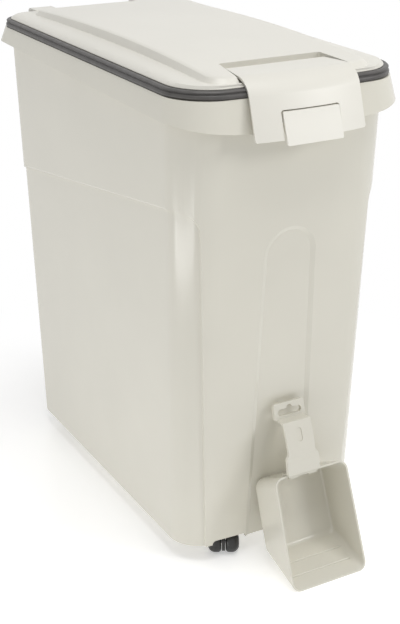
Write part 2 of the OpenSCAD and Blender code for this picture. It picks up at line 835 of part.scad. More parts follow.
module latch_pin() {
  color(STEEL)
    translate([0, latch_axis_y, latch_axis_z])
      rod_x(-latch_pin_half, latch_pin_half, latch_pin_r);
}

tab_lip_z = rim_z - tab_drop;
module pull_tab() {
  y_top = front_y_at(tab_z) - latch_bow;
  y_axis = front_y_at(tab_axis_z) - latch_bow;
  y_lip = front_y_at(tab_lip_z) - latch_bow - tab_lip_out;
  color(PEARL)
    along_x(-tab_w / 2, tab_w / 2)
      difference() {
        union() {
          polygon([
            [y_top, tab_z],
            [y_axis, tab_axis_z],
            [y_lip, tab_lip_z],
            [y_lip + latch_t, tab_lip_z],
            [y_axis + latch_t, tab_axis_z],
            [y_top + latch_t, tab_z]
          ]);
          translate([tab_axis_y, tab_axis_z])
            circle(r = tab_boss_r);
          translate([y_axis + latch_t / 2, tab_axis_z - tab_boss_r])
            square([tab_axis_y - y_axis - latch_t / 2, 2 * tab_boss_r]);
        }
        translate([tab_axis_y, tab_axis_z])
          circle(r = tab_pin_r + run_gap);
      }
}

module pull_tab_pin() {
  reach = tab_w / 2 + tab_gap + tab_ear_t;
  color(STEEL)
    translate([0, tab_axis_y, tab_axis_z])
      rod_x(-reach, reach, tab_pin_r);
}

// Casters. In its own frame a caster has its stem on Z and its axle at Y = -trail.

flange_t = 2.5;
flange_r = stem_r + boss_wall;
boss_top = floor_z - flange_t - move_gap;
stem_foot = wheel_r * 2 + hood_t;
wheel_gap = 0.8;

module at_caster(place) {
  translate([place[0], place[1], 0])
    rotate([0, 0, caster_turn])
      children();
}
module about_axle() {
  translate([0, -trail, wheel_r])
    rotate([0, 90, 0])
      children();
}
module caster_stem(place) {
  color(STEEL)
    at_caster(place) {
      translate([0, 0, stem_foot])
        cylinder(h = floor_z + socket_h - stem_foot, r = stem_r);
      translate([0, 0, floor_z - flange_t])
        cylinder(h = flange_t, r = flange_r);
    }
}

// Half section of a wheel from its inner face outward, grown by d.
wheel_x0 = web_t / 2 + move_gap;
module wheel_section(d) {
  intersection() {
    translate([0, wheel_x0 - d])
      square([wheel_r + d, wheel_w + 2 * d]);
    union() {
      translate([0, wheel_x0 - d])
        square([wheel_r + d, wheel_w - shoulder + d]);
      translate([wheel_r - shoulder, wheel_x0 + wheel_w - shoulder])
        circle(r = shoulder + d);
      translate([0, wheel_x0 - d])
        square([wheel_r - shoulder, wheel_w + 2 * d]);
    }
  }
}
module caster_wheel(place, side) {
  color(BLACK)
    at_caster(place)
      mirror([side < 0 ? 1 : 0, 0, 0])
        about_axle()
          difference() {
            rotate_extrude()
              wheel_section(0);
            cylinder(h = wheel_x0 + 2 * wheel_w, r = axle_r + run_gap);
          }
}
module caster_axle(place) {
  reach = wheel_x0 + wheel_w;
  color(STEEL)
    at_caster(place)
      about_axle()
        translate([0, 0, -reach])
          cylinder(h = 2 * reach, r = axle_r);
}

// The hood covers the wheels' top and their side towards the stem.
module caster_housing(place) {
  hood_r = wheel_r + wheel_gap + hood_t;
  hood_half = wheel_x0 + wheel_w - hood_inset;
  color(BLACK)
    at_caster(place)
      difference() {
        union() {
          translate([0, 0, wheel_r])
            cylinder(h = boss_top - wheel_r, r = flange_r);
          about_axle()
            intersection() {
              translate([0, 0, -hood_half])
                cylinder(h = 2 * hood_half, r = hood_r);
              translate([-2 * hood_r, 0, -2 * hood_r])
                cube([2 * hood_r, 2 * hood_r, 4 * hood_r]);
            }
          about_axle()
            translate([0, 0, -web_t / 2])
              cylinder(h = web_t, r = wheel_r - web_lift);
        }
        about_axle()
          rotate_extrude()
            wheel_section(wheel_gap);
        about_axle()
          mirror([0, 0, 1])
            rotate_extrude()
              wheel_section(wheel_gap);
        translate([0, 0, stem_foot - move_gap])
          cylinder(h = floor_z, r = stem_r + run_gap);
        about_axle()
          translate([0, 0, -web_t])
            cylinder(h = 2 * web_t, r = axle_r);
      }
}

// Scoop. In its own frame the mouth lies in the XZ plane with its top edge on the
// origin, and the scoop runs back along +Y.

function face_at(z, x) =
  body_size(z)[1] + bow_at(body_size(z), x) - (abs(x) < arch_half(z) ? panel_depth : 0);
// Furthest reach of the front face behind an edge of the given half length.
function face_reach(z, x, half) = max([for (i = [-8:8]) face_at(z, x + half * i / 8)]);
deep_z = (mouth_h - deep_drop) * cos(scoop_lean) - scoop_depth * sin(scoop_lean);
deep_edge = mouth_top_w / 2 - scoop_draft - scoop_r;
deep_y = -face_reach(deep_z, scoop_x, deep_edge) - move_gap;
mouth_y = deep_y + deep_drop * sin(scoop_lean) - scoop_depth * cos(scoop_lean);
mouth_z = mouth_h * cos(scoop_lean);
module at_scoop() {
  translate([scoop_x, mouth_y, mouth_z])
    rotate([-scoop_lean, 0, 0])
      children();
}
// Corner of a rounded four-sided ring: half widths, heights, radius, place along Y.
scoop_steps = 5;
function quarter(x, z, r, a0, y) =
  [for (i = [0:scoop_steps]) let (a = a0 + 90 * i / scoop_steps) [x + r * cos(a), y, z + r * sin(a)]];
function scoop_ring(top_half, base_half, top, base, r, y) = concat(
  quarter(top_half - r, top - r, r, 0, y),
  quarter(-top_half + r, top - r, r, 90, y),
  quarter(-base_half + r, base + r, r, 180, y),
  quarter(base_half - r, base + r, r, 270, y)
);
deep_base = -deep_drop - deep_h;
deep_base_half = lerp(mouth_top_w, mouth_base_w, -deep_base / mouth_h) / 2 - scoop_draft;
function mouth_ring(d, y) = scoop_ring(mouth_top_w / 2 - d, mouth_base_w / 2 - d, -d, -mouth_h + d, scoop_r - d, y);
function deep_ring(d, y) = scoop_ring(
  mouth_top_w / 2 - scoop_draft - d, deep_base_half - d, -deep_drop - d, deep_base + d, scoop_r - d, y
);
module scoop_bucket() {
  color(IVORY)
    at_scoop()
      skin(
        [
          deep_ring(scoop_wall, scoop_depth - scoop_wall),
          mouth_ring(scoop_wall, 0),
          mouth_ring(0, 0),
          deep_ring(0, scoop_depth)
        ],
        true
      );
}

// The strap bends back from the mouth to a ledge, and the head stands on the ledge.
// In its frame the mouth's top edge is at Z = 0 and the middle of the strap's foot at Y = 0.
strap_y = mouth_y - clip_gap - hook_t / 2;
strap_foot_z = clip_gap + hook_t / 2;
clip_w = foot_w - strap_t;
strap_steps = 10;
ledge_drop = 0.6;
function strap_mid(z) = z * tan(strap_lean) + strap_bend * pow(z / strap_h, 2);
function strap_slope(z) = atan(tan(strap_lean) + 2 * strap_bend * z / pow(strap_h, 2));
head_y = strap_mid(strap_h) + ledge_l;
head_z = strap_h - strap_t;
top_slope = atan(deep_drop / scoop_depth);
// Outlines of the handle, seen square on.
module pill(w, h) {
  r = min(w, h) / 2;
  for (side = [-1, 1])
    translate([side * (w / 2 - r), side * (h / 2 - r)])
      circle(r = r);
  square([w - (w > h ? 2 * r : 0), h - (h > w ? 2 * r : 0)], center = true);
}
module hang_slot() {
  pill(slot_w, slot_h);
  translate([0, slot_h / 2])
    circle(r = slot_h / 2);
}
module head_outline() {
  for (side = [-1, 1])
    for (end = [-1, 1])
      translate([side * (head_w / 2 - head_r), end * (head_h / 2 - head_r)])
        circle(r = head_r);
  square([head_w, head_h - 2 * head_r], center = true);
  square([head_w - 2 * head_r, head_h], center = true);
}
module strap_plate(t) {
  rotate([90, 0, 0])
    translate([0, 0, -t / 2])
      linear_extrude(t)
        children();
}
module strap_outline() {
  polygon([
    [-foot_w / 2, -foot_h],
    [foot_w / 2, -foot_h],
    [foot_w / 2, foot_h],
    [strap_w / 2, foot_h + (foot_w - strap_w) / 2],
    [strap_top_w / 2, strap_h + foot_h],
    [-strap_top_w / 2, strap_h + foot_h],
    [-strap_w / 2, foot_h + (foot_w - strap_w) / 2],
    [-foot_w / 2, foot_h]
  ]);
}
// Side view of the strap up to a height, with its front and back set out from its middle.
module strap_side(front, back, top) {
  heights = [for (i = [0:strap_steps]) lerp(strap_foot_z, top, i / strap_steps)];
  polygon(concat(
    [for (z = heights) [strap_mid(z) - front, z]],
    [for (i = [strap_steps:-1:0]) [strap_mid(heights[i]) + back, heights[i]]]
  ));
}
module across(w) {
  rotate([90, 0, 90])
    translate([0, 0, -w / 2])
      linear_extrude(w)
        children();
}
module clip() {
  across(clip_w) {
    translate([-hook_t - clip_gap, -clip_lip])
      square([hook_t, clip_lip + clip_h]);
    rotate(-top_slope)
      translate([-hook_t / 2 - clip_gap, clip_gap])
        square([clip_l + hook_t / 2, hook_t]);
  }
  for (side = [-1, 1])
    translate([side * ((clip_w - tooth_w) / 2 - hook_t) - tooth_w / 2, 0, -scoop_wall])
      rotate([-top_slope, 0, 0])
        translate([0, -hook_t / 2 - clip_gap, -2 * clip_gap - hook_t])
          cube([tooth_w, tooth_l - hook_t / 2, hook_t]);
}
module strap() {
  difference() {
    intersection() {
      across(2 * foot_w)
        union() {
          strap_side(strap_t / 2, strap_t / 2, strap_h);
          strap_side(strap_t / 2 + foot_step, 0, foot_h);
        }
      strap_plate(4 * strap_h)
        strap_outline();
    }
    translate([0, strap_mid(dimple_up), dimple_up])
      rotate([-strap_slope(dimple_up), 0, 0])
        translate([0, dimple_depth - strap_t, 0])
          strap_plate(strap_t)
            pill(dimple_w, dimple_h);
  }
  across(strap_top_w - strap_t)
    translate([strap_mid(strap_h), strap_h - strap_t - ledge_drop])
      square([ledge_l, strap_t]);
  translate([0, head_y, head_z])
    rotate([-head_lean, 0, 0])
      strap_plate(strap_t + head_step)
        translate([0, head_h / 2])
          difference() {
            head_outline();
            translate([0, -slot_drop])
              hang_slot();
          }
}
module scoop_handle() {
  color(IVORY) {
    at_scoop()
      translate([handle_x, 0, 0])
        clip();
    translate([scoop_x + handle_x, strap_y, mouth_z])
      strap();
  }
}

bin();
lid();
lid_seal();
lid_hinge_pins();
latch();
latch_pin();
pull_tab();
pull_tab_pin();
scoop_bucket();
scoop_handle();
caster_stem(FRONT_LEFT);  // stem_front_left
caster_stem(FRONT_RIGHT);  // stem_front_right
caster_stem(BACK_LEFT);  // stem_back_left
caster_stem(BACK_RIGHT);  // stem_back_right
caster_housing(FRONT_LEFT);  // housing_front_left
caster_housing(FRONT_RIGHT);  // housing_front_right
caster_housing(BACK_LEFT);  // housing_back_left
caster_housing(BACK_RIGHT);  // housing_back_right
caster_axle(FRONT_LEFT);  // axle_front_left
caster_axle(FRONT_RIGHT);  // axle_front_right
caster_axle(BACK_LEFT);  // axle_back_left
caster_axle(BACK_RIGHT);  // axle_back_right
caster_wheel(FRONT_LEFT, -1);  // wheel_front_left_a
caster_wheel(FRONT_LEFT, 1);  // wheel_front_left_b
caster_wheel(FRONT_RIGHT, -1);  // wheel_front_right_a
caster_wheel(FRONT_RIGHT, 1);  // wheel_front_right_b
caster_wheel(BACK_LEFT, -1);  // wheel_back_left_a
caster_wheel(BACK_LEFT, 1);  // wheel_back_left_b
caster_wheel(BACK_RIGHT, -1);  // wheel_back_right_a
caster_wheel(BACK_RIGHT, 1);  // wheel_back_right_b
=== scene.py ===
"""Looks of the wheeled pet food container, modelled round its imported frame."""
import json
import math

import bmesh
import bpy
from mathutils import Euler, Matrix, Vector


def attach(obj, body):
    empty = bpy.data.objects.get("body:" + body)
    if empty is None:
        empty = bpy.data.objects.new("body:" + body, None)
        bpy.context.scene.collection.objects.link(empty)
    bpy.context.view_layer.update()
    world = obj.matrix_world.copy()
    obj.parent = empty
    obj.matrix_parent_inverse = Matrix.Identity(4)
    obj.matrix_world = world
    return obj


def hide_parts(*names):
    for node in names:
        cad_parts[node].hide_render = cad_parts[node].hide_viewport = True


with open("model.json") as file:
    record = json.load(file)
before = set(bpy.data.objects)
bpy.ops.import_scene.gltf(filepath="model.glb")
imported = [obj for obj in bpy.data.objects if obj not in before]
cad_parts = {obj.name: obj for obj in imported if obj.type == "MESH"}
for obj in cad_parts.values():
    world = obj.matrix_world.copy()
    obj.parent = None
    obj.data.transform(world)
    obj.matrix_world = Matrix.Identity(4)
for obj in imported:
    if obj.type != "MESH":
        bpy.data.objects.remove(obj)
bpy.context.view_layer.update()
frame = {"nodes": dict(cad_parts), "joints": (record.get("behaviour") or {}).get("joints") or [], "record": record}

bl_info = {
    "name": "Pet food container",
    "version": (1, 0, 0),
    "blender": (4, 5, 0),
    "location": "View3D > Sidebar > Container",
    "description": "Models the container's pieces, finishes and studio round its frame",
    "category": "Object",
}

# Counts of cuts, steps and sides
CORNER_STEPS = 12
FACE_CUTS = 15
LID_SIDE_CUTS = 23
ROUND_STEPS = 4
CROWN_ROWS = 40
LATCH_COLUMNS = 24
FOLD_STEPS = 14
SOFT_STEPS = 2
EDGE_STEPS = 4
END_STEPS = 6
STRAP_STEPS = 24
SHOULDER_STEPS = 8
WHEEL_STEPS = 64
ROD_SIDES = 32
SOCKET_SIDES = 48
RELIEF_SIDES = 96

# Tolerances, and the reach of cutters, in metres
NEAR = 2e-5
MERGE = 1e-5
FAR = 0.4
PAST = 0.01
FACE_MASK_Y = -0.06
LEAST_RADIUS = 0.001

# Angles in degrees
HARD_EDGE = 32
ARCH_EDGE = 20
SMOOTH_ANGLE = 35
WHEEL_SMOOTH = 40
EAR_ANGLE = 30

# Gaps and small forms, in metres
EAR_GAP = 0.0003
FOLD_GAP = 0.0003
SEAL_GAP = 0.0003
SEAL_INSET = 0.0005
ARM_ROOT = 0.007
ARM_RISE = 0.0005
BARREL_SINK = 0.0004
ARCH_OUT = 0.003
STRAP_ROUND = 0.002
FOOT_SLOPE = 0.004
RIDGE_R = 0.0012
RIDGE_RISE = 0.0004
LID_SOFTNESS = 0.0005
SEAL_SOFTNESS = 0.0002
LATCH_SOFTNESS = 0.0005
SCOOP_SOFTNESS = 0.0004

# Shares of a size; the seal's beads are (out, up) in shares of its bulge and its height
ARCH_SLOPE = 2.0
CROWN_ROUND = 0.995
FULL_ROUND = 0.499
NOTCH_ROUND = 0.9
ARM_SHARE = 0.85
RIDGES = (0.3, 0.6)
BORDER_SHARES = (0.3, 0.6, 0.85)
SEAL_INNER = (0.1, 0.9)
SEAL_BEADS = ((-0.3, 0), (0.45, 0.08), (0.9, 0.2), (1, 0.3), (0.85, 0.42), (0.4, 0.52), (-0.2, 0.58),
              (-0.3, 0.62), (0, 0.67), (0.4, 0.75), (0.4, 0.84), (-0.2, 0.93), (-1.6, 1))

# Finishes and studio
NOISE_RANGE = (0.3, 0.7)
GLOSS_SPREAD = 0.015
WHITE = (1, 1, 1, 1)
FLOOR_COLOUR = (0.92, 0.92, 0.92, 1)
FLOOR_ROUGH = 0.25
FLOOR_GLOW = 0.4
FLOOR_SIZE = 12
SHADOW_FADE = (0.25, 0.6)
SURROUND = 0.34
CAMERA_PLACE = (-0.694, -1.276, 0.843)
CAMERA_TURN = (66.75, 0, -29.2)
LENS = 72.2
SENSOR = 36

CORNERS = ("front_left", "front_right", "back_left", "back_right")


# Properties

def length(label, text, default):
    """A size in metres."""
    return bpy.props.FloatProperty(
        name=label, description=text, default=default, precision=4, unit="LENGTH")


def turn(label, text, degrees):
    """An angle, given in degrees."""
    return bpy.props.FloatProperty(
        name=label, description=text, default=math.radians(degrees), unit="ROTATION")


def colour(label, text, default):
    """A colour in linear red, green and blue."""
    return bpy.props.FloatVectorProperty(
        name=label, description=text, default=default, size=3, min=0, max=1, subtype="COLOR")


class BinSizes(bpy.types.PropertyGroup):
    """Sizes of the bin's shell"""
    skirt_z: length("Skirt height", "Height of the skirt's lower edge above the floor", 0.022)
    rim_z: length("Rim height", "Height of the rim above the floor", 0.552)
    base_half: length("Base half width", "Half the bin's width at its skirt", 0.1175)
    top_half: length("Top half width", "Half the wall's width at the rim", 0.126)
    base_front: length("Base front", "Reach of the skirt in front of the origin", 0.207)
    base_back: length("Base back", "Reach of the skirt behind the origin", 0.214)
    top_front: length("Top front", "Reach of the wall in front of the origin at the rim", 0.231)
    top_back: length("Top back", "Reach of the wall behind the origin at the rim", 0.237)
    base_front_r: length("Base front radius", "Front corner radius at the skirt", 0.033)
    top_front_r: length("Top front radius", "Front corner radius at the rim", 0.042)
    base_back_r: length("Base back radius", "Back corner radius at the skirt", 0.022)
    top_back_r: length("Top back radius", "Back corner radius at the rim", 0.024)
    front_bow: length("Front bow", "How far the front's middle bows out", 0.006)
    back_bow: length("Back bow", "How far the back's middle bows out", 0.002)
    wall: length("Wall", "Thickness of the wall", 0.003)
    floor_z: length("Floor height", "Height of the floor panel's underside", 0.048)
    floor_t: length("Floor thickness", "Thickness of the floor panel", 0.003)
    panel_depth: length("Panel depth", "Depth of the side and arch panels", 0.0025)
    step_back_z: length("Step at the back", "Height of the side panels at the back", 0.375)
    step_front_z: length("Step at the front", "Height of the side panels at the front", 0.436)
    step_round: length("Step round", "Radius of the edge over the side panels", 0.0022)
    panel_r: length("Panel radius", "Radius of the side panels' front corner", 0.025)
    face_base_half: length("Face base", "Half the raised front's width at the skirt", 0.088)
    face_top_half: length("Face top", "Half the raised front's width at the step", 0.103)
    arch_base_half: length("Arch base", "Half the arch's width at the skirt", 0.041)
    arch_r: length("Arch radius", "Radius of the arch's crown", 0.033)
    arch_z: length("Arch height", "Height of the arch's crown", 0.406)
    rim_out: length("Rim at the sides", "How far the rim stands out from the sides", 0.0075)
    rim_front: length("Rim at the front", "How far the rim stands out from the front", 0.010)
    rim_back: length("Rim at the back", "How far the rim stands out from the back", 0.011)
    collar_flare: length("Collar flare", "How far the collar flares out", 0.0055)
    collar_back_h: length("Collar at the back", "Drop of the collar at the back", 0.018)
    collar_front_h: length("Collar at the front", "Drop of the collar at the front corners", 0.025)
    collar_dip: length("Collar dip", "Extra drop of the collar at the front's middle", 0.013)
    notch_w: length("Notch width", "Width of the notch in the skirt over a caster", 0.043)
    notch_h: length("Notch height", "Height of the notch in the skirt", 0.005)
    notch_x: length("Notch place", "Distance of the notches from the middle", 0.0616)
    socket_r: length("Socket radius", "Radius of a caster's socket boss", 0.008)
    socket_h: length("Socket height", "Height of a caster's socket boss", 0.019)
    softness: length("Softness", "Radius of the bin's soft edges", 0.0011)


class LidSizes(bpy.types.PropertyGroup):
    """Sizes of the lid, its seal and its hinge"""
    seat_z: length("Seat height", "Height of the lid's underside", 0.5633)
    inset: length("Inset", "Inset of the lid's edge from the rim", 0.0055)
    edge_h: length("Edge height", "Height of the lid's outer edge", 0.0016)
    edge_drop: length("Edge drop", "How far the outer edge hangs below the seat", 0.0015)
    border_w: length("Border", "Width of the border beside the raised top", 0.033)
    raised_front: length("Front inset", "Inset of the raised top from the lid's front", 0.008)
    raised_back: length("Back inset", "Inset of the raised top from the lid's back", 0.020)
    raised_front_r: length("Front radius", "Front corner radius of the raised top", 0.017)
    raised_back_r: length("Back radius", "Back corner radius of the raised top", 0.015)
    raised_slope: length("Slope", "Run of the slope round the raised top", 0.004)
    rise: length("Rise", "Height of the peak above the seat", 0.0155)
    crown: length("Crown", "Drop of the raised top from its peak to its back", 0.008)
    front_fall: bpy.props.FloatProperty(
        name="Front fall", description="How much faster the top falls to its front", default=1.4)
    peak_y: length("Peak", "Place of the peak along the lid", -0.020)
    round_in: length("Round", "Width of the rounding at the raised top's edge", 0.0065)
    round_drop: length("Round drop", "Drop of that rounding", 0.002)
    foot_rise: length("Foot rise", "Height of the slope's foot above the seat", 0.0065)
    foot_crown: length("Foot crown", "Drop of the slope's foot from the peak to the back", 0.0044)
    dome: length("Dome", "Swell of the border", 0.001)
    thickness: length("Thickness", "Thickness of the lid", 0.0025)
    notch_l: length("Notch length", "Length of the latch's notch", 0.0535)
    notch_gap: length("Notch gap", "Gap at each side of the latch in its notch", 0.0015)
    notch_z: length("Notch floor", "Height of the notch's floor", 0.5641)
    notch_r: length("Notch radius", "Radius of the notch's corners", 0.003)
    seal_w: length("Seal width", "Width of the seal", 0.009)
    seal_bulge: length("Seal bulge", "Bulge of the seal past the rim", 0.0015)
    knuckle_x: length("Hinge place", "Distance of each hinge from the middle", 0.072)
    knuckle_w: length("Knuckle width", "Width of a lid knuckle", 0.030)
    barrel_r: length("Barrel radius", "Radius of the hinge barrels", 0.0055)
    ear_t: length("Ear thickness", "Thickness of a hinge ear", 0.005)


class LatchSizes(bpy.types.PropertyGroup):
    """Sizes of the latch and its pull tab"""
    rear_w: length("Rear width", "Width of the latch at its hinge", 0.120)
    front_w: length("Front width", "Width of the latch at its front", 0.132)
    thickness: length("Thickness", "Thickness of the latch", 0.0024)
    top_z: length("Top height", "Height of the latch's flat top", 0.571)
    fold_r: length("Fold radius", "Outer radius of the fold over the rim", 0.0255)
    fold_y: length("Fold place", "Where the fold starts along the lid", -0.2265)
    lean: turn("Lean", "Lean of the latch's front", 18)
    foot_z: length("Foot height", "Height of the latch's lower edge", 0.511)
    bow: length("Bow", "Bow of the latch's front at its middle", 0.006)
    tab_half: length("Tab half width", "Half the width of the pull tab", 0.0335)
    tab_top_z: length("Tab top", "Height of the tab's top edge", 0.538)
    tab_foot_z: length("Tab foot", "Height of the tab's lip", 0.506)
    tab_lip: length("Tab lip", "How far the tab's lip stands out", 0.001)
    tab_gap: length("Tab gap", "Gap round the tab", 0.0013)
    tab_r: length("Tab radius", "Radius of the tab's corners", 0.0016)
    boss_r: length("Boss radius", "Radius of the tab's hinge boss", 0.002)
    ear_t: length("Ear thickness", "Thickness of the ears that hold the tab's pin", 0.003)
    corner_r: length("Corner radius", "Radius of the latch's lower corners", 0.003)


class ScoopSizes(bpy.types.PropertyGroup):
    """Sizes of the scoop and its handle"""
    mouth_top_half: length("Mouth top", "Half the mouth's width at its top", 0.0485)
    mouth_base_half: length("Mouth base", "Half the mouth's width at its base", 0.0505)
    mouth_h: length("Mouth height", "Height of the mouth", 0.131)
    depth: length("Depth", "Depth of the scoop", 0.054)
    deep_h: length("Deep height", "Height of the deep end", 0.087)
    deep_drop: length("Deep drop", "Drop of the deep end's top", 0.006)
    draft: length("Draft", "Draft of the walls from mouth to deep end", 0.002)
    corner_r: length("Corner radius", "Corner radius of the scoop", 0.011)
    end_r: length("End radius", "Radius round the deep end", 0.005)
    wall: length("Wall", "Thickness of the scoop's wall", 0.0022)
    lean: turn("Lean", "Lean of the mouth", 22)
    place_x: length("Place", "Sideways place of the scoop", 0.015)
    strap_h: length("Strap height", "Height of the strap from the mouth to its ledge", 0.058)
    strap_lean: turn("Strap lean", "Lean of the strap where it rises from the mouth", 6)
    strap_bend: length("Strap bend", "How far the strap's top bends back", 0.012)
    strap_w: length("Strap width", "Width of the strap above its foot", 0.035)
    strap_top_w: length("Strap top width", "Width that the strap flares to", 0.037)
    strap_t: length("Strap thickness", "Thickness of the strap", 0.0034)
    foot_w: length("Foot width", "Width of the strap's foot", 0.042)
    foot_h: length("Foot height", "Height of the strap's foot above the mouth", 0.020)
    foot_step: length("Foot step", "How much thicker the foot is than the strap", 0.0012)
    ledge_l: length("Ledge", "Depth of the ledge under the handle's head", 0.013)
    ledge_drop: length("Ledge drop", "Drop of the ledge below the strap's top", 0.0006)
    head_lean: turn("Head lean", "Lean of the handle's head", 16)
    head_w: length("Head width", "Width of the handle's head", 0.040)
    head_h: length("Head height", "Height of the handle's head", 0.0195)
    head_step: length("Head step", "How much thicker the head is than the strap", 0.0015)
    slot_w: length("Slot width", "Width of the hang slot", 0.031)
    slot_h: length("Slot height", "Height of the hang slot", 0.0075)
    handle_x: length("Handle place", "Sideways offset of the handle", -0.011)
    clip_h: length("Clip height", "Height of the clip's plate above the mouth", 0.007)
    clip_l: length("Clip length", "Reach of the clip along the scoop's top", 0.013)
    hook_t: length("Hook thickness", "Thickness of the clip's plates", 0.002)
    tooth_w: length("Tooth width", "Width of each hook tooth", 0.010)
    tooth_l: length("Tooth length", "Length of each hook tooth", 0.008)
    clip_lip: length("Clip lip", "Overlap of the clip's plate on the mouth's edge", 0.003)
    clip_gap: length("Clip gap", "Clearance of the clip on the scoop", 0.00015)
    head_r: length("Head radius", "Corner radius of the handle's head", 0.003)
    slot_drop: length("Slot drop", "How far the slot lies below the head's middle", 0.001)
    dimple_w: length("Dimple width", "Width of the dimple in the strap", 0.007)
    dimple_h: length("Dimple height", "Height of the dimple in the strap", 0.016)
    dimple_z: length("Dimple place", "Height of the dimple above the mouth", 0.043)
    dimple_depth: length("Dimple depth", "Depth of the dimple in the strap", 0.0012)
    mouth_y: length("Mouth place", "Place of the mouth's upper edge along the bin", -0.263718)
    mouth_z: length("Mouth top", "Height of the mouth's upper edge", 0.121461)


class CasterSizes(bpy.types.PropertyGroup):
    """Sizes of the caster wheels"""
    wheel_r: length("Wheel radius", "Radius of a caster wheel", 0.0125)
    wheel_w: length("Wheel width", "Width of a caster wheel", 0.0158)
    inner_x: length("Inner face", "Distance of a wheel's inner face from the middle", 0.0026)
    shoulder: length("Shoulder", "Radius of the wheel's outer shoulder", 0.0085)
    inner_round: length("Inner round", "Radius of the wheel's inner edge", 0.004)
    dish: length("Dish", "Depth of the dish in the wheel's outer face", 0.0005)
    bore_r: length("Bore radius", "Radius of the wheel's bore", 0.00205)
    trail: length("Trail", "Trail of the wheels behind the stem", 0.012)
    turned: turn("Turned", "How far the casters have swivelled", -29)


class Finishes(bpy.types.PropertyGroup):
    """Colours of the container's finishes"""
    ivory: colour("Ivory", "Glossy plastic of the bin and the scoop", (0.735, 0.712, 0.625))
    pearl: colour("Pearl", "Satin plastic of the lid and the latch", (0.790, 0.770, 0.700))
    seal: colour("Seal", "Soft rubber of the lid's seal", (0.085, 0.080, 0.076))
    black: colour("Black", "Moulded plastic of the casters", (0.022, 0.022, 0.021))
    zinc: colour("Zinc", "Plated steel of pins, stems and axles", (0.60, 0.60, 0.62))


GROUPS = {
    "container_bin": BinSizes, "container_lid": LidSizes, "container_latch": LatchSizes,
    "container_scoop": ScoopSizes, "container_caster": CasterSizes, "container_finish": Finishes,
}


# Modelling by operators

def near(a, b):
    """Whether two lengths are the same, within a tolerance."""
    return abs(a - b) < NEAR


def begin(name):
    """Start an empty mesh at the origin and open it for editing."""
    bpy.ops.object.select_all(action="DESELECT")
    bpy.ops.object.add(type="MESH", enter_editmode=True)
    piece = bpy.context.object
    piece.name = name
    piece.data.name = name
    return piece


def edited():
    """The mesh that is open for editing, as corners, edges and faces."""
    return bmesh.from_edit_mesh(bpy.context.edit_object.data)


def pick(kind, test):
    """Select the vertices, edges or faces whose every corner passes a test."""
    bpy.ops.mesh.select_mode(type=kind)
    bpy.ops.mesh.select_all(action="DESELECT")
    shape = edited()
    items = {"VERT": shape.verts, "EDGE": shape.edges, "FACE": shape.faces}[kind]
    found = 0
    for item in items:
        corners = [item] if kind == "VERT" else item.verts
        if not item.hide and all(test(corner) for corner in corners):
            item.select_set(True)
            found += 1
    shape.select_flush_mode()
    bmesh.update_edit_mesh(bpy.context.edit_object.data)
    if not found:
        raise RuntimeError(f"{bpy.context.edit_object.name}: nothing to select")


def everything():
    """Select all that is visible in the mesh being edited."""
    bpy.ops.mesh.select_all(action="SELECT")


def mark_ring():
    """Number the visible vertices as one more ring of the mesh being edited."""
    shape = edited()
    layer = shape.verts.layers.int.get("ring") or shape.verts.layers.int.new("ring")
    number = max(vert[layer] for vert in shape.verts) + 1
    for vert in shape.verts:
        if not vert.hide:
            vert[layer] = number
    bmesh.update_edit_mesh(bpy.context.edit_object.data)
    return number


def in_rings(*numbers):
    """A test for vertices of the rings with these numbers."""
    layer = edited().verts.layers.int["ring"]
    return lambda vert: vert[layer] in numbers


def close(piece):
    """Merge doubles, turn faces outwards and leave edit mode."""
    bpy.ops.mesh.reveal(select=False)
    everything()
    bpy.ops.mesh.remove_doubles(threshold=MERGE)
    bpy.ops.mesh.normals_make_consistent(inside=False)
    bpy.ops.object.mode_set(mode="OBJECT")
    if "ring" in piece.data.attributes:
        piece.data.attributes.remove(piece.data.attributes["ring"])
    return piece


def reopen(piece):
    """Open a finished piece for editing again."""
    bpy.ops.object.select_all(action="DESELECT")
    bpy.context.view_layer.objects.active = piece
    piece.select_set(True)
    bpy.ops.object.mode_set(mode="EDIT")


def swell(move, reach):
    """Move the selection, with its visible neighbours following on a parabola."""
    bpy.ops.transform.translate(
        value=move, use_proportional_edit=True,
        proportional_edit_falloff="INVERSE_SQUARE", proportional_size=reach)


def apply(piece, kind, **values):
    """Add a modifier with its values and apply it."""
    bpy.context.view_layer.objects.active = piece
    tool = piece.modifiers.new(kind, kind)
    for key, value in values.items():
        setattr(tool, key, value)
    bpy.ops.object.modifier_apply(modifier=tool.name)


def combine(piece, other, operation):
    """Unite, cut or intersect a piece with another one, which is used up."""
    apply(piece, "BOOLEAN", object=other, operation=operation, solver="EXACT")
    bpy.data.objects.remove(other)


def copy_of(piece, name):
    """A copy of a piece with a mesh of its own."""
    twin = piece.copy()
    twin.data = piece.data.copy()
    twin.name = name
    twin.data.name = name
    bpy.context.collection.objects.link(twin)
    return twin


def soften(piece, radius, limit=HARD_EDGE):
    """Round the hard edges and shade the rest smooth."""
    reopen(piece)
    everything()
    bpy.ops.mesh.remove_doubles(threshold=MERGE)
    bpy.ops.mesh.dissolve_degenerate(threshold=MERGE)
    bpy.ops.object.mode_set(mode="OBJECT")
    apply(piece, "BEVEL", width=radius, segments=SOFT_STEPS, limit_method="ANGLE",
          angle_limit=math.radians(limit), use_clamp_overlap=True)
    bpy.ops.object.shade_smooth_by_angle(angle=math.radians(SMOOTH_ANGLE))
    apply(piece, "WEIGHTED_NORMAL", keep_sharp=True)


def grow(size, d):
    """An outline's size, larger all round by d."""
    half, front, back, front_r, back_r = size
    return (half + d, front + d, back + d, max(front_r + d, LEAST_RADIUS), max(back_r + d, LEAST_RADIUS))


def between(a, b, share):
    """A size part of the way from one to another."""
    return tuple(p + (q - p) * share for p, q in zip(a, b))


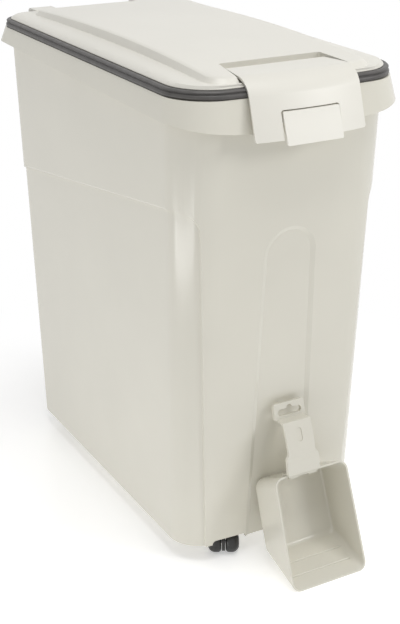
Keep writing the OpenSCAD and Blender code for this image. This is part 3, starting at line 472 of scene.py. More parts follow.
def outline(size, z, side_cuts=0):
    """Add a flat outline with round corners and bowed ends; return its ring number.

    size is (half width, front reach, back reach, front radius, back radius)."""
    half, front, back, front_r, back_r = size
    middle = (back - front) / 2
    bows = bpy.context.scene.container_bin
    bpy.ops.mesh.primitive_plane_add(size=1, location=(0, middle, z))
    bpy.ops.mesh.hide(unselected=True)
    bpy.ops.transform.resize(
        value=(2 * half, front + back, 1), center_override=(0, middle, z))
    for y, radius in ((-front, front_r), (back, back_r)):
        pick("VERT", lambda v: near(v.co.y, y))
        bpy.ops.mesh.bevel(offset=radius, segments=CORNER_STEPS, affect="VERTICES")
    if side_cuts:
        for x in (-half, half):
            pick("EDGE", lambda v: near(v.co.x, x))
            bpy.ops.mesh.subdivide(number_cuts=side_cuts)
    for y, bow in ((-front, -bows.front_bow), (back, bows.back_bow)):
        pick("EDGE", lambda v: near(v.co.y, y))
        bpy.ops.mesh.subdivide(number_cuts=FACE_CUTS)
        pick("VERT", lambda v: near(v.co.y, y) and near(v.co.x, 0))
        swell((0, bow, 0), half)
    return hollow_ring()


def hollow_ring():
    """Take the face out of the visible outline and number it as a ring."""
    everything()
    bpy.ops.mesh.delete(type="ONLY_FACE")
    ring = mark_ring()
    bpy.ops.mesh.reveal(select=False)
    return ring


def bridge(ring, other):
    """Join two rings with a band of faces."""
    pick("EDGE", in_rings(ring, other))
    bpy.ops.mesh.bridge_edge_loops()


def cap(ring):
    """Close a ring with one face."""
    pick("EDGE", in_rings(ring))
    bpy.ops.mesh.edge_face_add()


def skin(rings):
    """Bridge rings in their order and close both ends."""
    for ring, other in zip(rings, rings[1:]):
        bridge(ring, other)
    cap(rings[0])
    cap(rings[-1])


def loft(name, stack):
    """A closed solid over a stack of (size, height) outlines."""
    piece = begin(name)
    skin([outline(size, z) for size, z in stack])
    return close(piece)


def flat(points, rounded=()):
    """Add a flat face with the given corners, some of them made round."""
    bpy.ops.mesh.primitive_circle_add(vertices=len(points), fill_type="NGON")
    bpy.ops.mesh.hide(unselected=True)
    corners = [v for v in edited().verts if not v.hide]
    for corner, point in zip(corners, points):
        corner.co = point
    bmesh.update_edit_mesh(bpy.context.edit_object.data)
    for place, radius in rounded:
        pick("VERT", lambda v: (v.co - Vector(place)).length < NEAR)
        bpy.ops.mesh.bevel(offset=radius, segments=CORNER_STEPS, affect="VERTICES")
    everything()


def prism(name, points, push, rounded=()):
    """A flat face pushed out to a solid."""
    piece = begin(name)
    flat(points, rounded)
    bpy.ops.mesh.extrude_region_move(TRANSFORM_OT_translate={"value": push})
    return close(piece)


def oblong(w, h):
    """The corners of a rectangle about the middle."""
    return [(-w / 2, -h / 2), (w / 2, -h / 2), (w / 2, h / 2), (-w / 2, h / 2)]


def reshape(rule):
    """Move every visible vertex of the mesh being edited to where a rule puts it."""
    for vert in edited().verts:
        if not vert.hide:
            vert.co = rule(vert.co)
    bmesh.update_edit_mesh(bpy.context.edit_object.data)


def rod(name, x0, x1, y, z, radius, sides=ROD_SIDES):
    """A round bar along X."""
    bpy.ops.object.select_all(action="DESELECT")
    bpy.ops.mesh.primitive_cylinder_add(
        vertices=sides, radius=radius, depth=x1 - x0, location=((x0 + x1) / 2, y, z),
        rotation=(0, math.pi / 2, 0))
    bpy.ops.object.transform_apply()
    bpy.context.object.name = name
    return bpy.context.object


def leaf(name, x0, x1, profile, y, z, radius):
    """A hinge leaf: a flat (y, z) profile across x0 to x1, ending in a round barrel."""
    piece = prism(name, [(x0, *point) for point in profile], (x1 - x0, 0, 0))
    combine(piece, rod("barrel", x0, x1, y, z, radius), "UNION")
    return piece


def block(name, low, high):
    """A box between two corners."""
    bpy.ops.object.select_all(action="DESELECT")
    bpy.ops.mesh.primitive_cube_add(
        size=1, location=[(a + b) / 2 for a, b in zip(low, high)],
        scale=[b - a for a, b in zip(low, high)])
    bpy.ops.object.transform_apply()
    bpy.context.object.name = name
    return bpy.context.object


def place(piece, where, tilt=0.0, swivel=0.0):
    """Turn a finished mesh and move it, leaving its object at the origin."""
    bpy.ops.object.select_all(action="DESELECT")
    bpy.context.view_layer.objects.active = piece
    piece.select_set(True)
    piece.rotation_euler = (tilt, 0, swivel)
    piece.location = where
    bpy.ops.object.transform_apply()


def dress(piece, finish, body, slot, *nodes):
    """Give a piece its finish, its body and the frame nodes that it stands for."""
    piece.data.materials.clear()
    piece.data.materials.append(finish)
    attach(piece, body)
    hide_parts(*nodes)


# Finishes

def new_finish(name):
    """An empty finish with its node tree and its shader."""
    finish = bpy.data.materials.new(name)
    finish.use_nodes = True
    tree = finish.node_tree
    return finish, tree, tree.nodes["Principled BSDF"]


def node(tree, kind, **values):
    """Add a node, with values for its sockets or its settings."""
    item = tree.nodes.new(kind)
    for key, value in values.items():
        if isinstance(value, (int, float)) and key in item.inputs:
            item.inputs[key].default_value = value
        else:
            setattr(item, key, value)
    return item


def noise(tree, scale, detail=3.0):
    """Noise on object coordinates, scale in cycles a metre."""
    where = node(tree, "ShaderNodeTexCoord")
    field = node(tree, "ShaderNodeTexNoise", Scale=scale, Detail=detail)
    tree.links.new(where.outputs["Object"], field.inputs["Vector"])
    return field.outputs["Fac"]


def spread(tree, value, low, high):
    """Bring a noise value, which keeps near one half, to a range."""
    scale = node(tree, "ShaderNodeMapRange")
    scale.inputs["From Min"].default_value, scale.inputs["From Max"].default_value = NOISE_RANGE
    scale.inputs["To Min"].default_value = low
    scale.inputs["To Max"].default_value = high
    tree.links.new(value, scale.inputs["Value"])
    return scale.outputs["Result"]


def tinted(tree, base, value, depth):
    """The base colour, darker by up to depth where the noise value is high."""
    mix = node(tree, "ShaderNodeMix", data_type="RGBA")
    mix.inputs["A"].default_value = (*base, 1)
    mix.inputs["B"].default_value = (*[c * (1 - depth) for c in base], 1)
    tree.links.new(spread(tree, value, 0, 1), mix.inputs["Factor"])
    return mix.outputs["Result"]


def bumped(tree, shader, value, depth, strength):
    """Give a shader a fine relief from a noise value."""
    bump = node(tree, "ShaderNodeBump", Strength=strength, Distance=depth)
    tree.links.new(value, bump.inputs["Height"])
    tree.links.new(bump.outputs["Normal"], shader.inputs["Normal"])


def plastic(name, base, rough, mottle, grain):
    """Injection-moulded plastic: faint mottle, fine grain and a little unevenness in the gloss."""
    finish, tree, shader = new_finish(name)
    tint = tinted(tree, base, noise(tree, scale=9), mottle)
    gloss = spread(tree, noise(tree, scale=240, detail=4), rough - GLOSS_SPREAD, rough + GLOSS_SPREAD)
    tree.links.new(tint, shader.inputs["Base Color"])
    tree.links.new(gloss, shader.inputs["Roughness"])
    bumped(tree, shader, noise(tree, grain, detail=2), depth=0.0001, strength=0.05)
    return finish


def rubber(name, base):
    """Soft rubber: blotchy, dull and finely rough."""
    finish, tree, shader = new_finish(name)
    tint = tinted(tree, base, noise(tree, scale=70, detail=5), depth=0.25)
    gloss = spread(tree, noise(tree, scale=160, detail=4), low=0.38, high=0.52)
    tree.links.new(tint, shader.inputs["Base Color"])
    tree.links.new(gloss, shader.inputs["Roughness"])
    bumped(tree, shader, noise(tree, scale=1800, detail=2), depth=0.0003, strength=0.12)
    return finish


def plated(name, base):
    """Plated steel with a slightly uneven gloss."""
    finish, tree, shader = new_finish(name)
    shader.inputs["Metallic"].default_value = 1
    tint = tinted(tree, base, noise(tree, scale=220, detail=4), depth=0.18)
    gloss = spread(tree, noise(tree, scale=400, detail=5), low=0.26, high=0.42)
    tree.links.new(tint, shader.inputs["Base Color"])
    tree.links.new(gloss, shader.inputs["Roughness"])
    bumped(tree, shader, noise(tree, scale=900, detail=3), depth=0.0002, strength=0.08)
    return finish


def finish_of(name):
    """The finish with a given slot name, made at its first use."""
    if f"finish_{name}" in bpy.data.materials:
        return bpy.data.materials[f"finish_{name}"]
    colours = bpy.context.scene.container_finish
    makers = {
        "bin_plastic": lambda n: plastic(n, colours.ivory, rough=0.18, mottle=0.03, grain=1500),
        "lid_plastic": lambda n: plastic(n, colours.pearl, rough=0.36, mottle=0.025, grain=1100),
        "seal_rubber": lambda n: rubber(n, colours.seal),
        "caster_plastic": lambda n: plastic(n, colours.black, rough=0.42, mottle=0.3, grain=900),
        "wheel_plastic": lambda n: plastic(n, colours.black, rough=0.36, mottle=0.35, grain=700),
        "steel": lambda n: plated(n, colours.zinc),
    }
    return makers[name](f"finish_{name}")


# Sizes worked out from the properties

def body_size(z):
    """The bin's outer outline at a height."""
    s = bpy.context.scene.container_bin
    base = (s.base_half, s.base_front, s.base_back, s.base_front_r, s.base_back_r)
    top = (s.top_half, s.top_front, s.top_back, s.top_front_r, s.top_back_r)
    return between(base, top, (z - s.skirt_z) / (s.rim_z - s.skirt_z))


def rim_size():
    """The outline of the rim."""
    s = bpy.context.scene.container_bin
    return (s.top_half + s.rim_out, s.top_front + s.rim_front, s.top_back + s.rim_back,
            s.top_front_r + s.rim_out, s.top_back_r + s.rim_out)


def lid_size():
    """The outline of the lid's outer edge."""
    return grow(rim_size(), -bpy.context.scene.container_lid.inset)


def joint_place(name):
    """A joint's place in the frame."""
    return Vector(next(j for j in frame["joints"] if j["name"] == name)["pos_m"])


# The bin

def model_panels():
    """The mask of the sunk side panels."""
    s = bpy.context.scene.container_bin
    step = [(-FAR, 0), (FAR, 0), (FAR, s.step_back_z), (s.base_back, s.step_back_z),
            (-s.base_front, s.step_front_z), (-FAR, s.step_front_z)]
    panels = prism("panels", [(-FAR, y, z) for y, z in step], (2 * FAR, 0, 0))
    wide = [(s.face_base_half, 0), (s.face_top_half, s.step_front_z), (FAR, s.step_front_z),
            (FAR, s.rim_z)]
    face = wide + [(-x, z) for x, z in reversed(wide)]
    inner = [((side * s.face_top_half, -FAR, s.step_front_z), s.panel_r) for side in (-1, 1)]
    front = prism("face", [(x, -FAR, z) for x, z in face], (0, FAR + FACE_MASK_Y, 0), inner)
    combine(panels, front, "DIFFERENCE")
    return panels


def model_arch():
    """A wedge that sinks the front's arch, with walls that slope down to its floor."""
    s = bpy.context.scene.container_bin
    spring = s.arch_z - s.arch_r - s.skirt_z
    taper = (s.arch_r - s.arch_base_half) / spring
    piece = begin("arch")
    rings = []
    for out in (ARCH_OUT, -s.panel_depth):
        wider = ARCH_SLOPE * out
        low, high = (s.arch_base_half + taper * (z - s.skirt_z) + wider for z in (0, s.arch_z))
        top = s.arch_z + wider
        points = [(low, -out, 0), (high, -out, top), (-high, -out, top), (-low, -out, 0)]
        flat(points, [(p, CROWN_ROUND * high) for p in points[1:3]])
        rings.append(hollow_ring())
    skin(rings)
    lean = (s.top_front - s.base_front) / (s.rim_z - s.skirt_z)
    front = s.base_front + s.front_bow
    reshape(lambda p: (p.x, p.y - front - lean * (p.z - s.skirt_z)
                       + s.front_bow * (p.x / s.base_half) ** 2, p.z))
    everything()
    bpy.ops.mesh.quads_convert_to_tris()
    return close(piece)


def round_step(solid):
    """Round the lower edge of the bin's wider top, over the sunk panels."""
    s = bpy.context.scene.container_bin
    slope = (s.step_back_z - s.step_front_z) / (s.base_back + s.base_front)

    def on_step(v):
        on_side = near(abs(v.co.x), body_size(v.co.z)[0])
        return on_side and near(v.co.z, s.step_front_z + slope * (v.co.y + s.base_front))

    reopen(solid)
    pick("EDGE", on_step)
    bpy.ops.mesh.bevel(offset=s.step_round, segments=EDGE_STEPS, clamp_overlap=True)
    bpy.ops.object.mode_set(mode="OBJECT")


def model_outside():
    """The bin's closed outside, with its side panels and its arch sunk."""
    s = bpy.context.scene.container_bin
    solid = loft("bin_shell", [(body_size(z), z) for z in (s.skirt_z, s.rim_z)])
    sunk = loft("sunk", [(grow(body_size(z), -s.panel_depth), z)
                         for z in (s.skirt_z - PAST, s.rim_z + PAST)])
    panels = model_panels()
    combine(panels, sunk, "DIFFERENCE")
    combine(solid, panels, "DIFFERENCE")
    round_step(solid)
    combine(solid, model_arch(), "DIFFERENCE")
    return solid


def model_floor(outside):
    """The floor panel, which reaches to the middle of the bin's wall."""
    s = bpy.context.scene.container_bin
    floor = copy_of(outside, "floor")
    slab = block("slab", (-FAR, -FAR, s.floor_z), (FAR, FAR, s.floor_z + s.floor_t))
    combine(floor, slab, "INTERSECT")
    reopen(floor)
    everything()
    bpy.ops.transform.shrink_fatten(value=-s.wall / 2)
    return close(floor)


def fold_collar(solid):
    """Open both ends, and fold the top out to the rim and down to the collar."""
    s = bpy.context.scene.container_bin
    reopen(solid)
    for z in (s.skirt_z, s.rim_z):
        pick("FACE", lambda v: near(v.co.z, z))
        bpy.ops.mesh.delete(type="ONLY_FACE")
    top, rim = body_size(s.rim_z), rim_size()
    collar = grow(rim, s.collar_flare)
    drop = (s.collar_front_h + s.collar_back_h) / 2
    pick("EDGE", lambda v: near(v.co.z, s.rim_z))
    for inner, outer, fall in ((top, rim, 0), (rim, collar, drop)):
        middle = (inner[2] - inner[1]) / 2
        bpy.ops.mesh.extrude_region_move(TRANSFORM_OT_translate={"value": (0, 0, -fall)})
        bpy.ops.transform.resize(
            value=(outer[0] / inner[0], (outer[1] + outer[2]) / (inner[1] + inner[2]), 1),
            center_override=(0, middle, s.rim_z))
        bpy.ops.transform.translate(value=(0, (outer[2] - outer[1]) / 2 - middle, 0))
    bpy.ops.mesh.hide(unselected=True)
    slope = (s.collar_front_h - s.collar_back_h) / (collar[1] + collar[2])
    bpy.ops.transform.rotate(
        value=-math.atan(slope), orient_axis="X", center_override=(0, 0, s.rim_z - drop))
    pick("VERT", lambda v: v.co.y < 0 and near(v.co.x, 0))
    swell((0, 0, -s.collar_dip), collar[0])
    close(solid)


def cut_notches(solid):
    """Cut the notches over the casters through the skirt's front and back."""
    s = bpy.context.scene.container_bin
    for side in (-1, 1):
        points = [(side * s.notch_x + x, FAR, s.skirt_z + z) for x, z in (
            (-s.notch_w / 2, s.notch_h), (-s.notch_w / 2, -s.notch_h),
            (s.notch_w / 2, -s.notch_h), (s.notch_w / 2, s.notch_h))]
        upper = [(points[k], NOTCH_ROUND * s.notch_h) for k in (0, 3)]
        combine(solid, prism("notch", points, (0, -2 * FAR, 0), upper), "DIFFERENCE")


def model_ears():
    """The ears on the rim's back that hold the lid's hinge pins."""
    s = bpy.context.scene.container_bin
    lid = bpy.context.scene.container_lid
    rim, hinge, turned = rim_size(), joint_place("lid_hinge"), math.radians(EAR_ANGLE)
    lower = (hinge.y + lid.barrel_r * math.cos(turned), hinge.z - lid.barrel_r * math.sin(turned))
    profile = [(rim[2] - s.wall / 2, s.rim_z - s.wall / 2), (hinge.y, hinge.z), lower,
               (rim[2] + s.collar_flare / 2, s.rim_z - s.collar_back_h + s.wall)]
    reach = lid.knuckle_w / 2 + EAR_GAP
    ears = []
    for x in (lid.knuckle_x - reach - lid.ear_t, lid.knuckle_x + reach):
        for x0 in (x, -x - lid.ear_t):
            ears.append(leaf("ear", x0, x0 + lid.ear_t, profile, hinge.y, hinge.z, lid.barrel_r))
    return ears


def model_sockets():
    """The bosses on the floor that hold the casters' stems."""
    s = bpy.context.scene.container_bin
    sockets = []
    for corner in CORNERS:
        stem = joint_place(f"swivel_{corner}")
        bpy.ops.object.select_all(action="DESELECT")
        bpy.ops.mesh.primitive_cylinder_add(
            vertices=SOCKET_SIDES, radius=s.socket_r, depth=s.socket_h,
            location=(stem.x, stem.y, s.floor_z + s.socket_h / 2))
        bpy.ops.object.transform_apply()
        sockets.append(bpy.context.object)
    return sockets


def model_bin():
    """The bin's shell with its floor, hinge ears and caster sockets."""
    s = bpy.context.scene.container_bin
    solid = model_outside()
    floor = model_floor(solid)
    fold_collar(solid)
    apply(solid, "SOLIDIFY", thickness=s.wall, offset=-1, use_even_offset=True)
    combine(solid, floor, "UNION")
    cut_notches(solid)
    for extra in model_ears() + model_sockets():
        combine(solid, extra, "UNION")
    soften(solid, s.softness, ARCH_EDGE)
    return solid


class CONTAINER_OT_bin(bpy.types.Operator):
    """Model the bin with its panels, collar, floor and skirt"""
    bl_idname = "container.bin"
    bl_label = "Bin"

    def execute(self, context):
        dress(model_bin(), finish_of("bin_plastic"), "container", "bin_plastic", "bin")
        return {"FINISHED"}


# The lid, its seal and the latch's notch

def raised_size():
    """The outline of the lid's raised top."""
    s = bpy.context.scene.container_lid
    edge = lid_size()
    return (edge[0] - s.border_w, edge[1] - s.raised_front, edge[2] - s.raised_back,
            s.raised_front_r, s.raised_back_r)


def lid_stack():
    """The lid's outlines from its top round the edge to its hollow: size, height at the peak and
    drop at the back."""
    s = bpy.context.scene.container_lid
    edge, raised = lid_size(), raised_size()
    foot = grow(raised, s.raised_slope)
    peak, foot_z, edge_z = (s.seat_z + rise for rise in (s.rise, s.foot_rise, s.edge_h))
    stack = []
    for step in range(ROUND_STEPS + 1):
        turned = math.pi / 2 * step / ROUND_STEPS
        stack.append((grow(raised, s.round_in * (math.sin(turned) - 1)),
                      peak - s.round_drop * (1 - math.cos(turned)), s.crown))
    stack.append((foot, foot_z, s.foot_crown))
    for share in BORDER_SHARES:
        swelling = s.dome * 4 * share * (1 - share)
        stack.append((between(foot, edge, share),
                      edge_z + (foot_z - edge_z) * (1 - share) + swelling,
                      s.foot_crown * (1 - share)))
    low = s.seat_z - s.edge_drop
    stack.append((grow(edge, -s.edge_h / 2), low + s.edge_h, 0))
    stack.append((edge, low + s.edge_h / 3, 0))
    stack.append((edge, low, 0))
    stack.append((grow(edge, -s.seal_w), s.seat_z + s.edge_h / 3, 0))
    t = s.thickness
    hollow = (raised[0] - t, edge[1] - s.notch_l - t - bpy.context.scene.container_bin.front_bow,
              raised[2] - t, raised[3] / 2, raised[4] - t)
    stack.append((grow(hollow, t), foot_z - t, s.foot_crown))
    stack.append((hollow, peak - t - s.round_drop, s.crown))
    return stack


def model_fold_relief():
    """The space that the latch's fold takes from the lid's edge and the seal."""
    s = bpy.context.scene.container_latch
    half = s.front_w / 2 + bpy.context.scene.container_lid.notch_gap / 2
    centre_z = s.top_z - s.fold_r
    relief = block("relief", (-half, s.fold_y - 2 * s.fold_r, centre_z),
                   (half, s.fold_y, centre_z + 2 * s.fold_r))
    inner = s.fold_r - s.thickness - FOLD_GAP
    core = rod("core", -2 * half, 2 * half, s.fold_y, centre_z, inner, RELIEF_SIDES)
    combine(relief, core, "DIFFERENCE")
    return relief


def model_cover():
    """The lid's closed skin over its stack of outlines, crowned along its length."""
    s = bpy.context.scene.container_lid
    run = raised_size()[2] - s.peak_y
    piece = begin("lid_cover")
    rings = []
    for size, z, drop in lid_stack():
        ring = outline(size, z, LID_SIDE_CUTS)
        pick("VERT", in_rings(ring))
        bpy.ops.mesh.hide(unselected=True)
        reshape(lambda p: (p.x, p.y, p.z - (drop if p.y > s.peak_y else drop * s.front_fall)
                           * ((p.y - s.peak_y) / run) ** 2))
        bpy.ops.mesh.reveal(select=False)
        rings.append(ring)
    skin(rings)
    for row in range(1, CROWN_ROWS):
        everything()
        bpy.ops.mesh.bisect(
            plane_co=(0, (2 * row / CROWN_ROWS - 1) * lid_size()[2], 0), plane_no=(0, 1, 0))
    everything()
    bpy.ops.mesh.quads_convert_to_tris()
    return close(piece)


def cut_latch_notch(piece):
    """Give the lid a shelf at its front, and cut the latch's notch down to it."""
    s = bpy.context.scene.container_lid
    latch = bpy.context.scene.container_latch
    back, front = s.notch_l - lid_size()[1], latch.fold_y
    half = latch.front_w / 2 + s.notch_gap + s.thickness
    shelf = block("shelf", (-half, s.round_drop - raised_size()[1], s.notch_z - s.thickness),
                  (half, back + s.thickness, s.notch_z + s.thickness / 2))
    combine(piece, shelf, "UNION")
    rear, wide = (w / 2 + s.notch_gap for w in (latch.rear_w, latch.front_w))
    points = [(-rear, back), (rear, back), (wide, front), (wide, -FAR), (-wide, -FAR), (-wide, front)]
    points = [(x, y, s.notch_z) for x, y in points]
    notch = prism("notch", points, (0, 0, FAR), [(p, s.notch_r) for p in points[:2]])
    combine(piece, notch, "DIFFERENCE")
    combine(piece, model_fold_relief(), "DIFFERENCE")


def add_knuckles(piece):
    """Join the two hinge knuckles to the lid's back edge."""
    s = bpy.context.scene.container_lid
    hinge = joint_place("lid_hinge")
    arm, root = ARM_SHARE * s.barrel_r, lid_size()[2] - ARM_ROOT
    low = s.seat_z + ARM_RISE
    profile = [(root, low), (hinge.y - arm, low), (hinge.y - arm, hinge.z), (hinge.y + arm, hinge.z),
               (hinge.y + arm, low), (hinge.y, low + s.thickness), (root, low + s.thickness)]
    for side in (-1, 1):
        x0 = side * s.knuckle_x - s.knuckle_w / 2
        knuckle = leaf("knuckle", x0, x0 + s.knuckle_w, profile, hinge.y, hinge.z, s.barrel_r)
        combine(piece, knuckle, "UNION")


def model_lid():
    """The crowned lid with the latch's notch and its hinge knuckles."""
    piece = model_cover()
    cut_latch_notch(piece)
    add_knuckles(piece)
    soften(piece, LID_SOFTNESS)
    return piece


def model_seal():
    """A soft ring with a round lower bead and a thinner upper lip."""
    s = bpy.context.scene.container_lid
    rim_z = bpy.context.scene.container_bin.rim_z
    base = grow(rim_size(), -SEAL_INSET)
    low, high = rim_z + SEAL_GAP, s.seat_z - s.edge_drop
    profile = [(out * s.seal_bulge, up) for out, up in SEAL_BEADS]
    profile = [(-s.seal_w, SEAL_INNER[0]), *profile, (-s.seal_w, SEAL_INNER[1])]
    piece = begin("seal_ring")
    rings = [outline(grow(base, out), low + (high - low) * up) for out, up in profile]
    for ring, other in zip(rings, rings[1:] + rings[:1]):
        bridge(ring, other)
    close(piece)
    combine(piece, model_fold_relief(), "DIFFERENCE")
    soften(piece, SEAL_SOFTNESS)
    return piece


class CONTAINER_OT_lid(bpy.types.Operator):
    """Model the crowned lid with its latch notch and hinge knuckles, and the seal under it"""
    bl_idname = "container.lid"
    bl_label = "Lid and seal"

    def execute(self, context):
        dress(model_lid(), finish_of("lid_plastic"), "lid", "lid_plastic", "lid")
        dress(model_seal(), finish_of("seal_rubber"), "lid", "seal_rubber", "lid_seal")
        return {"FINISHED"}


# The latch and its pull tab

def latch_front_y(z):
    """Where the latch's straight front lies at a height, before its bow."""
    s = bpy.context.scene.container_latch
    fold_end = (s.fold_y - s.fold_r * math.cos(s.lean),
                s.top_z - s.fold_r + s.fold_r * math.sin(s.lean))
    return fold_end[0] - (fold_end[1] - z) * math.tan(s.lean)


def pin_boss(name, x0, x1, root):
    """A round boss for the tab's pin, on an arm that starts at root."""
    s = bpy.context.scene.container_latch
    pin = joint_place("tab_pull")
    profile = [(root, pin.z - s.boss_r), (pin.y, pin.z - s.boss_r), (pin.y, pin.z + s.boss_r),
               (root, pin.z + s.boss_r)]
    return leaf(name, x0, x1, profile, pin.y, pin.z, s.boss_r)


def model_latch():
    """The latch's plate, folded over the rim, with its barrel and the tab's ears."""
    s = bpy.context.scene.container_latch
    axis = joint_place("latch_hinge")
    centre_z = s.top_z - s.fold_r
    piece = begin("latch_plate")
    middle = (axis.y + s.fold_y) / 2
    bpy.ops.mesh.primitive_grid_add(
        x_subdivisions=LATCH_COLUMNS, y_subdivisions=1, size=1, location=(0, middle, s.top_z))
    bpy.ops.transform.resize(
        value=(s.rear_w, axis.y - s.fold_y, 1), center_override=(0, middle, s.top_z))
    pick("EDGE", lambda v: near(v.co.y, s.fold_y))
    bpy.ops.transform.resize(
        value=(s.front_w / s.rear_w, 1, 1), center_override=(0, s.fold_y, s.top_z))
    bpy.ops.mesh.spin(steps=FOLD_STEPS, angle=s.lean - math.pi / 2, axis=(1, 0, 0),
                      center=(0, s.fold_y, centre_z))
    run = (centre_z + s.fold_r * math.sin(s.lean) - s.foot_z) / math.cos(s.lean)
    bpy.ops.mesh.extrude_region_move(TRANSFORM_OT_translate={
        "value": (0, -run * math.sin(s.lean), -run * math.cos(s.lean))})
    half = s.front_w / 2

    def bowed(p):
        turned = math.pi / 2 - math.atan2(p.z - centre_z, s.fold_y - p.y)
        share = min(max(turned / (math.pi / 2 - s.lean), 0), 1) if p.y < s.fold_y else 0
        return (p.x, p.y - s.bow * share * (1 - (p.x / half) ** 2), p.z)

    reshape(bowed)
    pick("VERT", lambda v: near(v.co.z, s.foot_z) and near(abs(v.co.x), half))
    bpy.ops.mesh.bevel(offset=s.corner_r, segments=END_STEPS, affect="VERTICES")
    close(piece)
    apply(piece, "SOLIDIFY", thickness=s.thickness, offset=-1, use_even_offset=True)
    wide, top = s.tab_half + s.tab_gap, s.tab_top_z + s.tab_gap
    points = [(-wide, -FAR, 0), (wide, -FAR, 0), (wide, -FAR, top), (-wide, -FAR, top)]
    upper = [(p, s.tab_r + s.tab_gap) for p in points[2:]]
    combine(piece, prism("window", points, (0, FAR + s.fold_y, 0), upper), "DIFFERENCE")
    barrel_r = s.top_z - axis.z - BARREL_SINK
    combine(piece, rod("barrel", -s.rear_w / 2, s.rear_w / 2, axis.y, axis.z, barrel_r), "UNION")
    root = latch_front_y(joint_place("tab_pull").z) - s.bow / 2 + s.thickness / 2
    for x0 in (wide, -wide - s.ear_t):
        combine(piece, pin_boss("ear", x0, x0 + s.ear_t, root), "UNION")
    soften(piece, LATCH_SOFTNESS)
    return piece


def model_tab():
    """The pull tab with its lip and its hinge boss."""
    s = bpy.context.scene.container_latch
    pin = joint_place("tab_pull")
    t = s.thickness
    front = [(latch_front_y(z) - s.bow - out, z) for z, out in (
        (s.tab_top_z, 0), (pin.z, 0), (s.tab_foot_z, s.tab_lip))]
    profile = front + [(y + t, z) for y, z in reversed(front)]
    piece = prism("tab_plate", [(-s.tab_half, *point) for point in profile], (2 * s.tab_half, 0, 0))
    sides = [(-s.tab_half, -FAR, s.tab_foot_z), (s.tab_half, -FAR, s.tab_foot_z),
             (s.tab_half, -FAR, s.tab_top_z), (-s.tab_half, -FAR, s.tab_top_z)]
    combine(piece, prism("corners", sides, (0, FAR, 0), [(p, s.tab_r) for p in sides]), "INTERSECT")
    root = latch_front_y(pin.z) - s.bow + t / 2
    combine(piece, pin_boss("boss", -s.tab_half, s.tab_half, root), "UNION")
    soften(piece, LATCH_SOFTNESS)
    return piece


class CONTAINER_OT_latch(bpy.types.Operator):
    """Model the latch that folds over the rim, and the pull tab in its front"""
    bl_idname = "container.latch"
    bl_label = "Latch and pull tab"

    def execute(self, context):
        dress(model_latch(), finish_of("lid_plastic"), "latch", "lid_plastic", "latch")
        dress(model_tab(), finish_of("lid_plastic"), "tab", "lid_plastic", "pull_tab")
        return {"FINISHED"}


# The scoop

def scoop_ring(top_half, base_half, top, base, y):
    """A four-cornered round outline standing in the scoop's mouth plane."""
    r = bpy.context.scene.container_scoop.corner_r
    points = [(top_half, y, top), (-top_half, y, top), (-base_half, y, base), (base_half, y, base)]
    flat(points, [(p, r) for p in points])
    return hollow_ring()


def model_bucket():
    """The scoop's wedge-shaped bucket with ridges on its floor."""
    s = bpy.context.scene.container_scoop
    base = -s.deep_drop - s.deep_h
    share = -base / s.mouth_h
    base_half = s.mouth_top_half + (s.mouth_base_half - s.mouth_top_half) * share - s.draft
    piece = begin("scoop_body")
    mouth = scoop_ring(s.mouth_top_half, s.mouth_base_half, 0, -s.mouth_h, 0)
    deep = scoop_ring(s.mouth_top_half - s.draft, base_half, -s.deep_drop, base, s.depth)
    bridge(mouth, deep)
    cap(deep)
    pick("EDGE", in_rings(deep))
    bpy.ops.mesh.bevel(offset=s.end_r, segments=END_STEPS)
    close(piece)
    apply(piece, "SOLIDIFY", thickness=s.wall, offset=-1, use_even_offset=True)
    reopen(piece)
    reshape(lambda p: (p.x, max(p.y, 0), p.z))
    close(piece)
    for share in RIDGES:
        y = s.depth * share
        z = -s.mouth_h + (base + s.mouth_h) * share + s.wall
        half = s.mouth_base_half - s.corner_r
        combine(piece, rod("ridge", -half, half, y, z + RIDGE_RISE, RIDGE_R), "UNION")
    soften(piece, SCOOP_SOFTNESS)
    place(piece, scoop_place(), -s.lean)
    return piece


def scoop_place():
    """The middle of the mouth's upper edge."""
    s = bpy.context.scene.container_scoop
    return Vector((s.place_x, s.mouth_y, s.mouth_z))


def strap_back(z):
    """How far the strap has bent back at a height above the mouth."""
    s = bpy.context.scene.container_scoop
    return z * math.tan(s.strap_lean) + s.strap_bend * (z / s.strap_h) ** 2


def model_clip():
    """The plates that hold the mouth's upper edge, in the scoop's own frame."""
    s = bpy.context.scene.container_scoop
    half = (s.foot_w - s.strap_t) / 2
    plate_y = -s.hook_t - s.clip_gap
    slope = math.atan(s.deep_drop / s.depth)
    clip = block("clip", (-half, plate_y, -s.clip_lip), (half, -s.clip_gap, s.clip_h))
    inside_y = plate_y + s.hook_t / 2
    shelf = block("shelf", (-half, inside_y, s.clip_gap),
                  (half, s.clip_l - s.clip_gap, s.clip_gap + s.hook_t))
    place(shelf, (0, 0, 0), -slope)
    combine(clip, shelf, "UNION")
    for side in (-1, 1):
        middle = side * (half - s.hook_t - s.tooth_w / 2)
        high = -2 * s.clip_gap
        tooth = block("tooth", (middle - s.tooth_w / 2, inside_y, high - s.hook_t),
                      (middle + s.tooth_w / 2, plate_y + s.tooth_l, high))
        place(tooth, (0, 0, -s.wall), -slope)
        combine(clip, tooth, "UNION")
    return clip


